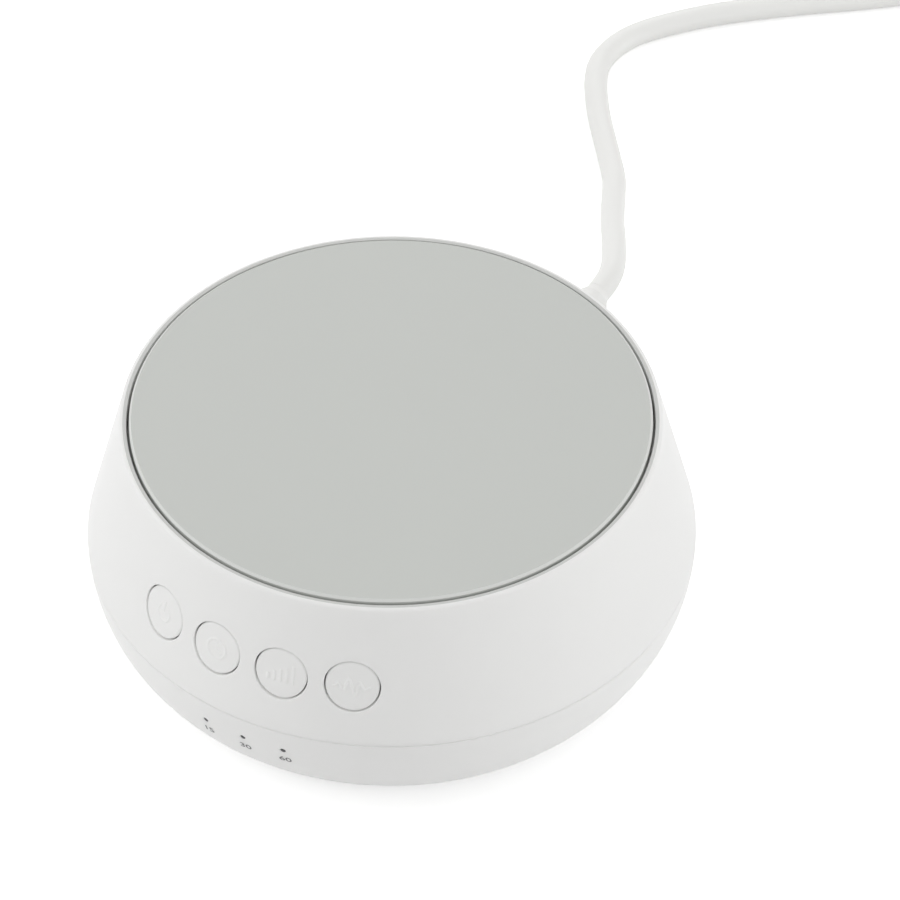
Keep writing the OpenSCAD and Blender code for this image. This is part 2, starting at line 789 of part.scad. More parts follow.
module dust_cap() {
    rise = 2.2;
    rim = coil_r + 0.8;
    slope = (cone_top_z - cone_in_z) / (cone_r - 0.6 - coil_r);
    base = cone_in_z + slope * (rim - coil_r) + 0.05;
    ball_r = (rim * rim + rise * rise) / (2 * rise);
    turn = asin(rim / ball_r);
    inner_turn = turn - 2;
    top = [0, base + rise - ball_r];
    color([0.14, 0.14, 0.15]) rotate_extrude() polygon(concat(
        arc(top, ball_r, 90 - turn, 90, 8), arc(top, ball_r - cone_t, 90, 90 - inner_turn, 8)));
}

module speaker_screws() {
    color(steel) for (a = speaker_screw_angles) at_angle(a)
        translate([0, -ear_screw_r, flange_z - flange_t])
            screw(small_screw_d, small_head_d, small_head_h,
                flange_t + gasket_t + speaker_screw_bite - fit);
}

// two leads from the basket's tab down to the main board
module speaker_wires() {
    low = board_top + speaker_socket_h;
    for (y = [-1.5, 1.5]) color(y > 0 ? [0.75, 0.15, 0.12] : [0.15, 0.15, 0.16]) tube([
        [tab_x, y, terminal_z], [tab_x, y, terminal_z - 2.5], [tab_x + 1, y, terminal_z - 6],
        [tab_x + 2, y, terminal_z - 11], [socket_x + 1, y, low + 6], [socket_x, y, low + 2.5],
        [socket_x, y, low]
    ], wire_d / 2, 8, [0, 1, 0]);
}

// ---------- main board ----------

module main_board() {
    color(board_green) translate([0, 0, board_z]) linear_extrude(board_t) difference() {
        union() {
            circle(r = board_r);
            translate([-tab_w / 2, 0]) square([tab_w, tab_end]);
        }
        for (a = column_angles) rotate(a) translate([0, -column_r])
            circle(d = sleeve_d + 2 * fit);
        for (p = board_holes) translate(p) circle(d = board_screw_d + 2 * fit, $fn = 32);
    }
}

module main_board_screws() {
    color(steel) for (p = board_holes) translate([p[0], p[1], board_top]) mirror([0, 0, 1])
        screw(board_screw_d, small_head_d, small_head_h, board_t + board_screw_bite - fit);
}

// barrel socket with its centre pin
module dc_jack() {
    color(chip_black) {
        difference() {
            at_angle(180) front_box(jack_w, jack_front - jack_len, jack_front, board_top, jack_h);
            at_angle(180) front_bar(barrel_d + 0.6, jack_front - jack_len + 2.5, jack_front + cut, jack_z);
        }
        at_angle(180) front_bar(pin_d, jack_front - jack_len + 2, jack_front - 1, jack_z);
    }
}

// square chip with bent legs on all four sides
module legged_chip(size, height, legs, pitch, sides) {
    translate([-size / 2, -size / 2, 0.15]) cube([size, size, height]);
    for (side = sides) rotate([0, 0, side])
        for (i = [0:legs - 1]) translate([(i - (legs - 1) / 2) * pitch - 0.15, size / 2 - 0.2, 0]) {
            cube([0.3, 1.4, 0.2]);
            cube([0.3, 0.6, height * 0.6]);
        }
}

module sound_chip() {
    color(chip_black) translate(sound_chip_at) legged_chip(9, 1.4, 10, 0.8, [0, 90, 180, 270]);
}

module amplifier_chip() {
    color(chip_black) translate(amplifier_at) legged_chip(5, 1.5, 4, 1.1, [90, 270]);
}

// upright electrolytic cans: place, diameter and height
module capacitors() {
    cans = [[-21, -13, 8, 11], [-12, -20, 6.3, 8], [17, -20, 6.3, 8], [15, 24, 8, 11]];
    color([0.2, 0.22, 0.3]) for (c = cans) translate([c[0], c[1], board_top])
        rotate_extrude() polygon([
            [0, 0], [c[2] / 2, 0], [c[2] / 2, 1], [c[2] / 2 - 0.3, 1.3], [c[2] / 2, 1.6],
            [c[2] / 2, c[3] - 0.4], [c[2] / 2 - 0.4, c[3]], [0, c[3]]
        ]);
}

// sockets for the speaker leads and for both ends of the flat cable
module wire_sockets() {
    color([0.88, 0.87, 0.8]) {
        translate([socket_x - speaker_socket_w / 2, -4, board_top])
            cube([speaker_socket_w, 8, speaker_socket_h]);
        translate([-ribbon_w / 2 - 1.5, -ribbon_y - 2, board_top]) cube([ribbon_w + 3, 4, socket_h]);
        translate([-ribbon_w / 2 - 1.5, -key_ribbon_y - 2, key_low - key_socket_h])
            cube([ribbon_w + 3, 4, key_socket_h]);
    }
}

module timer_leds() {
    color([0.95, 0.93, 0.8]) for (a = light_angles) at_angle(a)
        front_box(2, pipe_r - 1, pipe_r + 1, board_top, led_h);
}

// clear moulding that carries the light from the board to the three holes
module light_pipe() {
    end_a = light_step + 5;
    color([0.85, 0.9, 0.92, 0.5]) {
        for (a = light_angles) at_angle(a) {
            difference() {
                front_box(pipe_d, pipe_r - pipe_d / 2, pipe_r + pipe_d / 2, board_top + led_h + 0.2,
                    light_z + pipe_d / 2 - board_top - led_h - 0.2);
                translate([-pipe_d, -pipe_r + pipe_d / 2, light_z - pipe_d / 2])
                    rotate([45, 0, 0]) cube([2 * pipe_d, 2 * pipe_d, 2 * pipe_d]);
            }
            front_bar(pipe_d, pipe_r + pipe_d / 2, light_out_r - light_skin - fit, light_z);
        }
        rotate([0, 0, -90 - end_a]) rotate_extrude(angle = 2 * end_a)
            translate([pipe_r - pipe_d / 2, pipe_bar_z]) square([pipe_d, 1.6]);
        for (a = [-end_a, end_a]) at_angle(a)
            front_box(pipe_d, pipe_r - pipe_d / 2, pipe_r + pipe_d / 2, board_top,
                pipe_bar_z + 1.6 - board_top);
    }
}

// ---------- lead ----------

// moulded plug: grip, tapered and grooved strain relief, barrel in front
module dc_plug() {
    grip_end = plug_front + 12;
    groove = 0.5;
    taper = [for (i = [1:5]) grip_end + 1 + (plug_end - 2.1 - grip_end - 1) * i / 6];
    relief = function (y) plug_d / 2 - 0.5
        + (relief_d / 2 - plug_d / 2 + 0.5) * (y - grip_end) / (plug_end - 2.1 - grip_end);
    color(lead_white) translate([0, 0, jack_z]) rotate([-90, 0, 0]) difference() {
        rotate_extrude() polygon(concat(
            [[0, plug_front - barrel_len], [barrel_d / 2, plug_front - barrel_len],
             [barrel_d / 2, plug_front], [plug_d / 2 - 0.4, plug_front],
             [plug_d / 2, plug_front + 0.4], [plug_d / 2, grip_end], [plug_d / 2 - 0.5, grip_end + 0.5]],
            [for (y = taper) each [[relief(y - groove), y - groove], [relief(y) - 0.45, y - groove * 0.7],
                [relief(y) - 0.45, y + groove * 0.7], [relief(y + groove), y + groove]]],
            [[relief_d / 2, plug_end - 2.1], [cord_r + 0.45, plug_end - 1.5],
             [cord_r + 0.15, plug_end - 0.8], [cord_r, plug_end], [0, plug_end]]
        ));
        translate([0, 0, plug_front - barrel_len - cut])
            cylinder(d = pin_d + 2 * fit, h = barrel_len + cut);
    }
}

module power_cord() {
    color(lead_white) tube(lead_route, cord_r, 12);
}

module cord_coil() {
    color(lead_white) tube(coil_path, cord_r, 6);
}

// a rounded rectangle from circles and squares
module round_rect(w, h, r) {
    for (x = [r, w - r]) for (y = [r, h - r]) translate([x, y]) circle(r = r, $fn = 32);
    translate([r, 0]) square([w - 2 * r, h]);
    translate([0, r]) square([w, h - 2 * r]);
}

// band round the bundle of turns, on the side away from the lead's ends
module cord_tie() {
    inner_w = coil_out_r - coil_pitch / 2 - coil_in_r + cord_d + 2 * fit;
    inner_h = coil_top_z + cord_r + fit - tie_t;
    start = coil_c[0] - coil_in_r + cord_r + fit - inner_w - tie_t;
    color([0.82, 0.83, 0.83]) translate([start, coil_c[1] + tie_w / 2, 0]) rotate([90, 0, 0])
        linear_extrude(tie_w) difference() {
            round_rect(inner_w + 2 * tie_t, inner_h + 2 * tie_t, 2);
            translate([tie_t, tie_t]) round_rect(inner_w, inner_h, 1.2);
        }
}

// plug-in adapter lying on its face, the lead entering at one end
module wall_adapter() {
    outlet_x = coil_c[0] + coil_end_r;
    color(lead_white) {
        difference() {
            translate([outlet_x - adapter_w / 2, adapter_y + adapter_relief, 0])
                linear_extrude(adapter_h) round_rect(adapter_w, adapter_len, adapter_corner);
            translate([outlet_x - adapter_w / 2, adapter_y + adapter_relief, adapter_seam_z])
                linear_extrude(adapter_seam) difference() {
                    translate([-cut, -cut]) square([adapter_w + 2 * cut, adapter_len + 2 * cut]);
                    translate([adapter_seam, adapter_seam])
                        round_rect(adapter_w - 2 * adapter_seam, adapter_len - 2 * adapter_seam,
                            adapter_corner - adapter_seam);
                }
        }
        translate([outlet_x, adapter_y, coil_top_z]) rotate([-90, 0, 0])
            cylinder(d1 = cord_d + 1.4, d2 = cord_d + 4, h = adapter_relief);
    }
}

module adapter_pins() {
    outlet_x = coil_c[0] + coil_end_r;
    color(steel) for (x = [-1, 1] * blade_step / 2)
        translate([outlet_x + x - 0.75, adapter_y + adapter_relief + adapter_len * 0.55, adapter_h])
            rotate([90, 0, 90]) linear_extrude(1.5) difference() {
                union() {
                    translate([-3.15, 0]) square([6.3, blade_len - 1.5]);
                    translate([-1.65, 0]) square([3.3, blade_len]);
                    for (s = [-1, 1]) translate([1.65 * s, blade_len - 1.5]) circle(r = 1.5, $fn = 32);
                }
                translate([0, blade_len - 4]) circle(d = 3, $fn = 32);
            }
}

upper_housing();
lower_housing();
top_cover();
cover_screws();
housing_screws();
rubber_feet();
button_power();
button_timer();
button_volume();
button_sound();
stem_power();
stem_timer();
stem_volume();
stem_sound();
key_switches();
key_board();
key_board_screws();
key_cable();
speaker_gasket();
speaker_basket();
speaker_top_plate();
speaker_magnet();
speaker_yoke();
speaker_spider();
speaker_surround();
speaker_cone();
voice_coil();
dust_cap();
speaker_screws();
speaker_wires();
main_board();
main_board_screws();
dc_jack();
sound_chip();
amplifier_chip();
capacitors();
wire_sockets();
timer_leds();
light_pipe();
dc_plug();
power_cord();
cord_coil();
cord_tie();
wall_adapter();
adapter_pins();
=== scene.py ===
# %% [markdown]
# This lesson dresses a round white noise machine: a waisted white shell in two halves, a flat
# grey disc over a hidden loudspeaker, four push buttons, three timer lights and a lead.
# The imported CAD model comes first, because it is the frame that every piece has to fit.

# %% Load the imported model
import json
import math

import bmesh
import bpy
import numpy as np
from mathutils import Matrix, Vector
from mathutils.geometry import delaunay_2d_cdt


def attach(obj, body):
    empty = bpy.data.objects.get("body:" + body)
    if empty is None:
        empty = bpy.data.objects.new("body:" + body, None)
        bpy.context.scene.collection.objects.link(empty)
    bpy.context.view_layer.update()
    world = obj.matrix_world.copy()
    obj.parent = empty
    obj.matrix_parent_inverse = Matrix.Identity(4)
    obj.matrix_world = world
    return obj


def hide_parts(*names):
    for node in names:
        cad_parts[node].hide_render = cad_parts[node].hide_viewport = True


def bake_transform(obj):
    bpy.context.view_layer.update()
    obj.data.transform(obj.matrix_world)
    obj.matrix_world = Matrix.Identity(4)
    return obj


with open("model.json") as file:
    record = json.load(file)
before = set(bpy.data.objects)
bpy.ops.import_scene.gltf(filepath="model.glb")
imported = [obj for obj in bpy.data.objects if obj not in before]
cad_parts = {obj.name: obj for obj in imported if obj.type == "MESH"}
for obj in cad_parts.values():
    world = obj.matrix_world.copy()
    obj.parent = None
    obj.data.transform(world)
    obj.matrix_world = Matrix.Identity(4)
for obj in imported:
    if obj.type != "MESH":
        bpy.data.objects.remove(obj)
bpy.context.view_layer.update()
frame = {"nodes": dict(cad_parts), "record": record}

# %% [markdown]
# The photograph looks down on the machine from its front, a little from the right. A camera can
# be placed by hand or be worked out. Here it is worked out from the ellipse of the disc, which
# fixes the tilt, and from the lead and the buttons, which fix the turn. A long lens stands well
# back, as for a product photograph, so the round body keeps its shape.

# %% Set up the camera
CAMERA_TURN = 29.0
DISTANCE, CLIMB = 0.920, 43.57
YAW, PITCH, ROLL = (math.radians(a) for a in (0.94, 43.98, 0.12))
RIM_HEIGHT = 0.0525

look = Vector((math.sin(YAW) * math.cos(PITCH), math.cos(YAW) * math.cos(PITCH), -math.sin(PITCH)))
side = Vector((math.cos(YAW), -math.sin(YAW), 0.0))
rise = side.cross(look)
right = side * math.cos(ROLL) + rise * math.sin(ROLL)
up = rise * math.cos(ROLL) - side * math.sin(ROLL)
place = Vector((0.0, -DISTANCE * math.cos(math.radians(CLIMB)),
                DISTANCE * math.sin(math.radians(CLIMB)) + RIM_HEIGHT))

camera = bpy.data.objects.new("camera", bpy.data.cameras.new("camera"))
camera.data.lens = 198.72
camera.data.sensor_width = 36.0
turned = Matrix.Rotation(math.radians(CAMERA_TURN), 4, "Z")
axes = Matrix((right, up, -look)).transposed().to_4x4()
camera.matrix_world = turned @ Matrix.Translation(place) @ axes
bpy.context.scene.collection.objects.link(camera)
bpy.context.scene.camera = camera
print("camera at", [round(x, 4) for x in camera.matrix_world.translation])

# %% [markdown]
# Every shape below is worked out in millimetres as numpy arrays, a whole surface at a time, and
# becomes a mesh at the very end. One helper joins the patches of a piece: points that meet are
# welded, so the surface is closed, and edges sharper than a limit stay sharp. The alternative,
# modelling with Blender's own primitives, would be quick but would leave coarse facets.

# %% Turn arrays into meshes
MM = 0.001


def grid_faces(rows, columns, ring=False):
    """Quads between neighbouring points of a rows x columns grid; a ring joins its last column to its first."""
    index = np.arange(rows * columns).reshape(rows, columns)
    if ring:
        index = np.hstack([index, index[:, :1]])
    return np.stack([index[:-1, :-1], index[:-1, 1:], index[1:, 1:], index[1:, :-1]], axis=-1).reshape(-1, 4)


def fan(loop):
    """A flat lid: triangles from the middle of a closed loop of points to each of its edges."""
    count = len(loop)
    here = np.arange(count)
    faces = np.stack([here, np.roll(here, -1), np.full(count, count)], axis=-1)
    return np.vstack([loop, loop.mean(axis=0)]), faces


def piece(name, patches, body, stands_for=(), sharp=32.0):
    """Welds patches of (points in millimetres, faces) into one mesh that rides on a body. Points that
    no face uses are dropped. Without a body the piece rides on none."""
    points, faces, start = [], [], 0
    for patch_points, patch_faces in patches:
        points.append(np.asarray(patch_points, dtype=float) * MM)
        faces.extend((np.asarray(patch_faces) + start).tolist())
        start += len(patch_points)
    mesh = bpy.data.meshes.new(name)
    mesh.from_pydata(np.vstack(points).tolist(), [], faces)
    work = bmesh.new()
    work.from_mesh(mesh)
    bmesh.ops.delete(work, geom=[v for v in work.verts if not v.link_faces], context="VERTS")
    bmesh.ops.remove_doubles(work, verts=work.verts, dist=2e-6)
    bmesh.ops.recalc_face_normals(work, faces=work.faces)
    open_edges = sum(1 for edge in work.edges if len(edge.link_faces) != 2)
    work.to_mesh(mesh)
    work.free()
    mesh.polygons.foreach_set("use_smooth", np.ones(len(mesh.polygons), dtype=bool))
    mesh.set_sharp_from_angle(angle=math.radians(sharp))
    made = bpy.data.objects.new(name, mesh)
    bpy.context.scene.collection.objects.link(made)
    if body:
        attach(made, body)
    if stands_for:
        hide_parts(*stands_for)
    print(f"{name}: {len(mesh.polygons)} faces, {open_edges} open edges")
    return made


# %% [markdown]
# The lead is a soft cable 5 mm across. It comes straight out of the plug, sinks to the table and
# runs off to the side in loose curves; what the photograph doesn't show is wound into a round
# coil of two layers behind the machine. A curve object would do, but its wall can't be shaped,
# so the cable is a tube of rings carried along a smooth path through the route's points.

# %% Route of the lead
LEAD_R = 2.5
LEAD_ROUTE = np.array([
    [0, 86.2, 13.9], [0, 90, 13.8], [-0.7, 94, 13.4], [-2.4, 98.5, 12.6], [-5.9, 105.5, 10.8],
    [-10.2, 113.5, 8.2], [-14.2, 122, 5.3], [-18, 130, 3.3], [-22, 136, 2.6], [-26, 141.5, 2.5],
    [-30, 147, 2.5], [-33.5, 152.5, 2.5], [-36.5, 158, 2.5], [-38.5, 164, 2.5],
    [-38, 171, 2.5], [-35.5, 177, 2.5], [-31, 183, 2.5], [-25, 189.5, 2.5],
    [-17, 196.5, 2.5], [-8, 203.5, 2.5], [1, 210, 2.5], [10, 217, 2.5], [19, 224, 2.5],
    [28, 232, 2.5], [36, 241, 2.6], [42, 250, 2.9], [45.5, 259, 3.3], [47, 266, 3.6],
])
COIL_C, COIL_OUT_R, COIL_PITCH = np.array([9.0, 274.0]), 38.0, 5.5
COIL_LOW_Z, COIL_TOP_Z = 3.6, 9.1


def coil_points(count):
    """Two layers of a flat coil: the radius shrinks by one pitch a turn for 3.5 turns along the
    table, half a turn climbs one pitch, and 3 turns grow outwards again on top."""
    turn = np.linspace(0, 7, count)
    climb = np.clip((turn - 3.5) / 0.5, 0, 1)
    inner = COIL_OUT_R - 3.5 * COIL_PITCH
    radius = np.where(turn < 3.5, COIL_OUT_R - COIL_PITCH * turn,
                      np.where(turn < 4, inner - COIL_PITCH / 4 * np.sin(np.pi * climb),
                               inner + COIL_PITCH * (turn - 4)))
    angle = 2 * np.pi * turn
    return np.stack([COIL_C[0] + radius * np.cos(angle), COIL_C[1] + radius * np.sin(angle),
                     COIL_LOW_Z + COIL_PITCH * climb], axis=-1)


coil = coil_points(169)
lead_out = coil[-1] + np.array([[0, 5, 0], [0, 15, 0], [0, 26, 0]])
lead_path = np.vstack([LEAD_ROUTE, coil, lead_out])


def smooth_path(points, steps):
    """Catmull-Rom curve through all points: half of (2 b + (c - a) t + (2 a - 5 b + 4 c - d) t^2
    + (3 b - a - 3 c + d) t^3) between b and c, with a before and d after them."""
    ends = np.vstack([2 * points[0] - points[1], points, 2 * points[-1] - points[-2]])
    a, b, c, d = (ends[i:len(ends) - 3 + i, None, :] for i in range(4))
    t = (np.arange(steps) / steps)[None, :, None]
    curve = 0.5 * (2 * b + (c - a) * t + (2 * a - 5 * b + 4 * c - d) * t ** 2
                   + (3 * b - a - 3 * c + d) * t ** 3)
    return np.vstack([curve.reshape(-1, 3), points[-1:]])


def tube(path, radius, sides):
    """Round wall along a path: path + radius (cos a * side + sin a * rise), side being level."""
    way = np.gradient(path, axis=0)
    way /= np.linalg.norm(way, axis=1, keepdims=True)
    level = np.cross(way, [0.0, 0.0, 1.0])
    level /= np.linalg.norm(level, axis=1, keepdims=True)
    lift = np.cross(level, way)
    a = 2 * np.pi * np.arange(sides) / sides
    rings = (path[:, None, :] + radius * (np.cos(a)[None, :, None] * level[:, None, :]
                                          + np.sin(a)[None, :, None] * lift[:, None, :]))
    return [(rings.reshape(-1, 3), grid_faces(len(path), sides, ring=True)), fan(rings[0]), fan(rings[-1])]


lead_line = smooth_path(lead_path, 3)
lead_line[:, 2] = np.maximum(lead_line[:, 2], LEAD_R + 0.01)
lead = piece("lead", tube(lead_line, LEAD_R, 28), "housing",
             stands_for=("power_cord", "cord_coil"), sharp=50)

# %% [markdown]
# The plug is one soft moulding: a grip that fills the tunnel at the back, and a tapered strain
# relief whose grooves let it bend with the cable. It is turned: a half profile is swept round
# the plug's axis. The same helper makes every other round thing in this lesson.

# %% Turn the plug and its strain relief
PLUG_Z, PLUG_FRONT, PLUG_END = 13.9, 48.45, 86.2
UPWARDS = np.eye(3)
REARWARDS = np.array([[1.0, 0, 0], [0, 0, -1.0], [0, 1.0, 0]])


def bow(centre, radius, start, end, steps=6):
    """Points of an arc in the (r, z) plane from one angle to another, in degrees."""
    a = np.radians(np.linspace(start, end, steps + 1))
    return np.stack([centre[0] + radius * np.cos(a), centre[1] + radius * np.sin(a)], axis=-1)


def turned_wall(profile, angles, closed_turn=True, axis=UPWARDS, at=(0.0, 0.0, 0.0)):
    """Sweeps a profile of (r, z) round an axis: x = r sin a, y = -r cos a, z = z, then turned by axis."""
    profile = np.vstack([np.asarray(p, dtype=float).reshape(-1, 2) for p in profile])
    r, z = profile[:, 0, None], profile[:, 1, None]
    points = np.stack([r * np.sin(angles), -r * np.cos(angles), z + 0 * angles], axis=-1)
    points = points.reshape(-1, 3) @ axis + np.asarray(at)
    return points, grid_faces(len(profile), len(angles), ring=closed_turn)


def evenly(count):
    """Angles of a full turn in equal steps, in radians."""
    return 2 * np.pi * np.arange(count) / count


grip_end = PLUG_FRONT + 12
groove_at = np.linspace(grip_end + 3.2, PLUG_END - 5.5, 6)


def relief_radius(y):
    """Straight taper from the grip to the cable with six grooves, each a bell 0.55 mm deep."""
    taper = 4.45 + (3.35 - 4.45) * (y - grip_end) / (PLUG_END - 2 - grip_end)
    bells = np.exp(-((y[:, None] - groove_at) / 0.55) ** 4).sum(axis=1)
    return taper - 0.55 * bells


along = np.linspace(grip_end + 0.6, PLUG_END - 2.4, 150)
plug_profile = [
    [[0.0, PLUG_FRONT - 9.5], [2.55, PLUG_FRONT - 9.5], [2.75, PLUG_FRONT - 9.2], [2.75, PLUG_FRONT], [4.3, PLUG_FRONT]],
    bow((4.3, PLUG_FRONT + 0.4), 0.4, -90, 0),
    np.stack([np.full(12, 4.7), np.linspace(PLUG_FRONT + 1, grip_end - 0.6, 12)], axis=-1),
    bow((4.4, grip_end), 0.3, 0, 80),
    np.stack([relief_radius(along), along], axis=-1),
    [[3.1, PLUG_END - 1.9], [2.85, PLUG_END - 1.3], [2.6, PLUG_END - 0.6], [2.5, PLUG_END], [0.0, PLUG_END]],
]
plug = piece("plug", [turned_wall(plug_profile, evenly(72), axis=REARWARDS, at=(0, 0, PLUG_Z))],
             "housing", stands_for=("dc_plug",), sharp=40)

# %% [markdown]
# At the far end sits a wall adapter, a plain box with soft corners and the seam where its two
# halves are glued. Its outline is a rounded rectangle that shrinks by a different amount at each
# height: by a quarter circle at the edges and by a small notch at the seam.

# %% Wall adapter
ADAPTER_LOW = np.array([26.25, 316.0, 0.0])
ADAPTER_W, ADAPTER_LEN, ADAPTER_H, ADAPTER_CORNER, ADAPTER_EDGE = 36.0, 56.0, 27.0, 5.0, 2.2


def outline(inset, steps=10):
    """Rounded rectangle, drawn in by inset: corner centres stay and the corner radius shrinks."""
    r = ADAPTER_CORNER - inset
    half = np.array([ADAPTER_W, ADAPTER_LEN]) / 2 - ADAPTER_CORNER
    corners = [(1, 1, 0), (-1, 1, 90), (-1, -1, 180), (1, -1, 270)]
    middle = ADAPTER_LOW[:2] + np.array([ADAPTER_W, ADAPTER_LEN]) / 2
    return np.vstack([middle + bow(half * (sx, sy), r, a, a + 90, steps) for sx, sy, a in corners])


bend = np.radians(np.linspace(90, 0, 7))
edge_inset, edge_rise = ADAPTER_EDGE * (1 - np.cos(bend)), ADAPTER_EDGE * (1 - np.sin(bend))
seam_z = ADAPTER_H * 0.7
levels = np.concatenate([edge_rise, [8, 14, seam_z - 0.1, seam_z + 0.05, seam_z + 0.35, seam_z + 0.5],
                         (ADAPTER_H - edge_rise)[::-1]])
insets = np.concatenate([edge_inset, [0, 0, 0, 0.3, 0.3, 0], edge_inset[::-1]])
loops = [np.column_stack([outline(i), np.full(44, z)]) for i, z in zip(insets, levels)]
relief = turned_wall([[[0, 301], [3.0, 301], [3.2, 301.3]], [[4.5, 316.5], [0, 316.5]]],
                     evenly(32), axis=REARWARDS, at=(44.25, 0, COIL_TOP_Z))
adapter = piece("adapter", [(np.vstack(loops), grid_faces(len(loops), 44, ring=True)),
                            fan(loops[0]), fan(loops[-1]), relief],
                "housing", stands_for=("wall_adapter",), sharp=40)

# %% [markdown]
# The shell is a surface of revolution. Its lower half is a bowl on a rounded foot, and its upper
# half is a short belly round that runs into a straight cone. Both are radius-against-height
# functions, so one formula gives the outer skin, and the same formula with a depth gives the
# inner one. Everything that sits on the shell can then ask where the skin is.

# %% Skin of the shell
JOINT_Z, LEAN = 24.19, math.radians(14.71)
WALL = 2.2


def upper_radius(z, depth=0.0):
    """Belly: centre radius 51.5 plus a circle of 6 mm, less the depth. Above it, the cone that
    touches the circle and leans inwards by 14.71 degrees."""
    h, r = np.asarray(z, dtype=float) - JOINT_Z, 6.0 - depth
    belly = np.sqrt(np.clip(r ** 2 - h ** 2, 0, None))
    cone = (r - h * math.sin(LEAN)) / math.cos(LEAN)
    return 51.5 + np.where(h < r * math.sin(LEAN), np.where(h < 0, r, belly), cone)


def lower_radius(z, depth=0.0):
    """Bowl: a circle of 27 mm about (30.5, joint); below 46 degrees, a round of 12 mm."""
    z = np.asarray(z, dtype=float)
    split = 13.4 - (12.0 - depth) * math.sin(math.radians(46))
    bowl = 30.5 + np.sqrt(np.clip((27.0 - depth) ** 2 - (JOINT_Z - z) ** 2, 0, None))
    foot = 40.92 + np.sqrt(np.clip((12.0 - depth) ** 2 - (13.4 - z) ** 2, 0, None))
    return np.where(z > split, bowl, foot)


print("radius at the joint:", float(upper_radius(JOINT_Z)), " at the rim:", round(float(upper_radius(52.2)), 2))

# %% [markdown]
# Holes are what makes a lathed wall hard: a boolean would cut them, but leaves long slivers that
# spoil the shine. Here the wall leaves out a window of whole grid cells round each hole, and a
# port fills the window again. A port is one surface of (angle, ring): its rings blend from the
# window's border to a circle, roll over a small rounded edge, run down the hole, turn round at
# its back and come out on the inside of the wall, where they blend to the inner border.

# %% Wall and ports
def spread(breaks, step):
    """Values from the first to the last break, in steps of about step, that meet every break."""
    parts = [np.linspace(a, b, max(int(math.ceil((b - a) / step - 1e-6)), 1) + 1)[:-1]
             for a, b in zip(breaks[:-1], breaks[1:])]
    return np.concatenate(parts + [[breaks[-1]]])


def skin_points(radius, turn, z, depth):
    """Point of the skin at a turn in degrees and a height: (r sin a, -r cos a, z)."""
    r, a = radius(z, depth), np.radians(turn)
    return np.stack([r * np.sin(a), -r * np.cos(a), z + 0 * r], axis=-1)


def wall(radius, depth, heights, turns, windows):
    """Skin at every height and turn, without the cells that lie inside a window."""
    t, z = np.meshgrid(turns, heights)
    faces = grid_faces(len(heights), len(turns))
    mid_t = t.reshape(-1)[faces].mean(axis=1)
    mid_z = z.reshape(-1)[faces].mean(axis=1)
    inside = np.zeros(len(faces), dtype=bool)
    for t0, t1, z0, z1 in windows:
        inside |= (mid_t > t0) & (mid_t < t1) & (mid_z > z0) & (mid_z < z1)
    return skin_points(radius, t, z, depth).reshape(-1, 3), faces[~inside]


def port(radius, heights, turns, window, z0, hole, rim, back, back_plane):
    """Rings of one hole whose axis points outwards: x = p cos f, z = z0 + p sin f, and y on the
    skin at -sqrt(R(z)^2 - x^2). hole and back are its radii outside and inside the turning plane."""
    t0, t1, low, high = window
    t = turns[(turns > t0 - 1e-6) & (turns < t1 + 1e-6)]
    h = heights[(heights > low - 1e-6) & (heights < high + 1e-6)]
    border_t = np.concatenate([t[:-1], np.full(len(h) - 1, t[-1]), t[:0:-1], np.full(len(h) - 1, t[0])])
    border_z = np.concatenate([np.full(len(t) - 1, h[0]), h[:-1], np.full(len(t) - 1, h[-1]), h[:0:-1]])
    middle = (t0 + t1) / 2
    f = np.arctan2(border_z - z0, np.radians(border_t - middle) * float(radius(z0, 0.0)))

    def on_skin(p, depth):
        x, z = p * np.cos(f), z0 + p * np.sin(f)
        return x, -np.sqrt(radius(z, depth) ** 2 - x ** 2), z

    def swung(x, y, z):
        a = math.radians(middle)
        return np.stack([x * math.cos(a) - y * math.sin(a), x * math.sin(a) + y * math.cos(a), z], axis=-1)

    def blend(p, depth, share):
        x, y, z = on_skin(p, depth)
        circle_t = middle + np.degrees(np.arctan2(x, -y))
        return skin_points(radius, circle_t + share * (border_t - circle_t), z + share * (border_z - z), depth)

    shares = np.array([1, 0.8, 0.6, 0.42, 0.27, 0.15, 0.07, 0.02, 0])
    rings = [blend(hole + rim, 0.0, s) for s in shares]
    for q in np.linspace(0, 0.5 * np.pi, 7)[1:]:
        x, y, z = on_skin(hole + rim * (1 - math.sin(q)), 0.0)
        rings.append(swung(x, y + rim * (1 - math.cos(q)), z))
    x, y, z = on_skin(hole, 0.0)
    y = y + rim
    rings += [swung(x, y + s * (-back_plane - y), z) for s in (0.15, 0.5, 1.0)]
    x, y, z = on_skin(back, WALL)
    rings += [swung(x, -back_plane + 0 * y, z), swung(x, -back_plane + 0.5 * (y + back_plane), z)]
    rings += [blend(back, WALL, s) for s in (0, 0.15, 0.5, 1)]
    return np.vstack(rings), grid_faces(len(rings), len(f), ring=True)


def plug_hole(profile, turn, r, count=48):
    """A round boss, tube or pocket of its own, turned about an upright axis at a turn and radius."""
    a = math.radians(turn)
    return turned_wall(profile, evenly(count), at=(r * math.sin(a), -r * math.cos(a), 0))


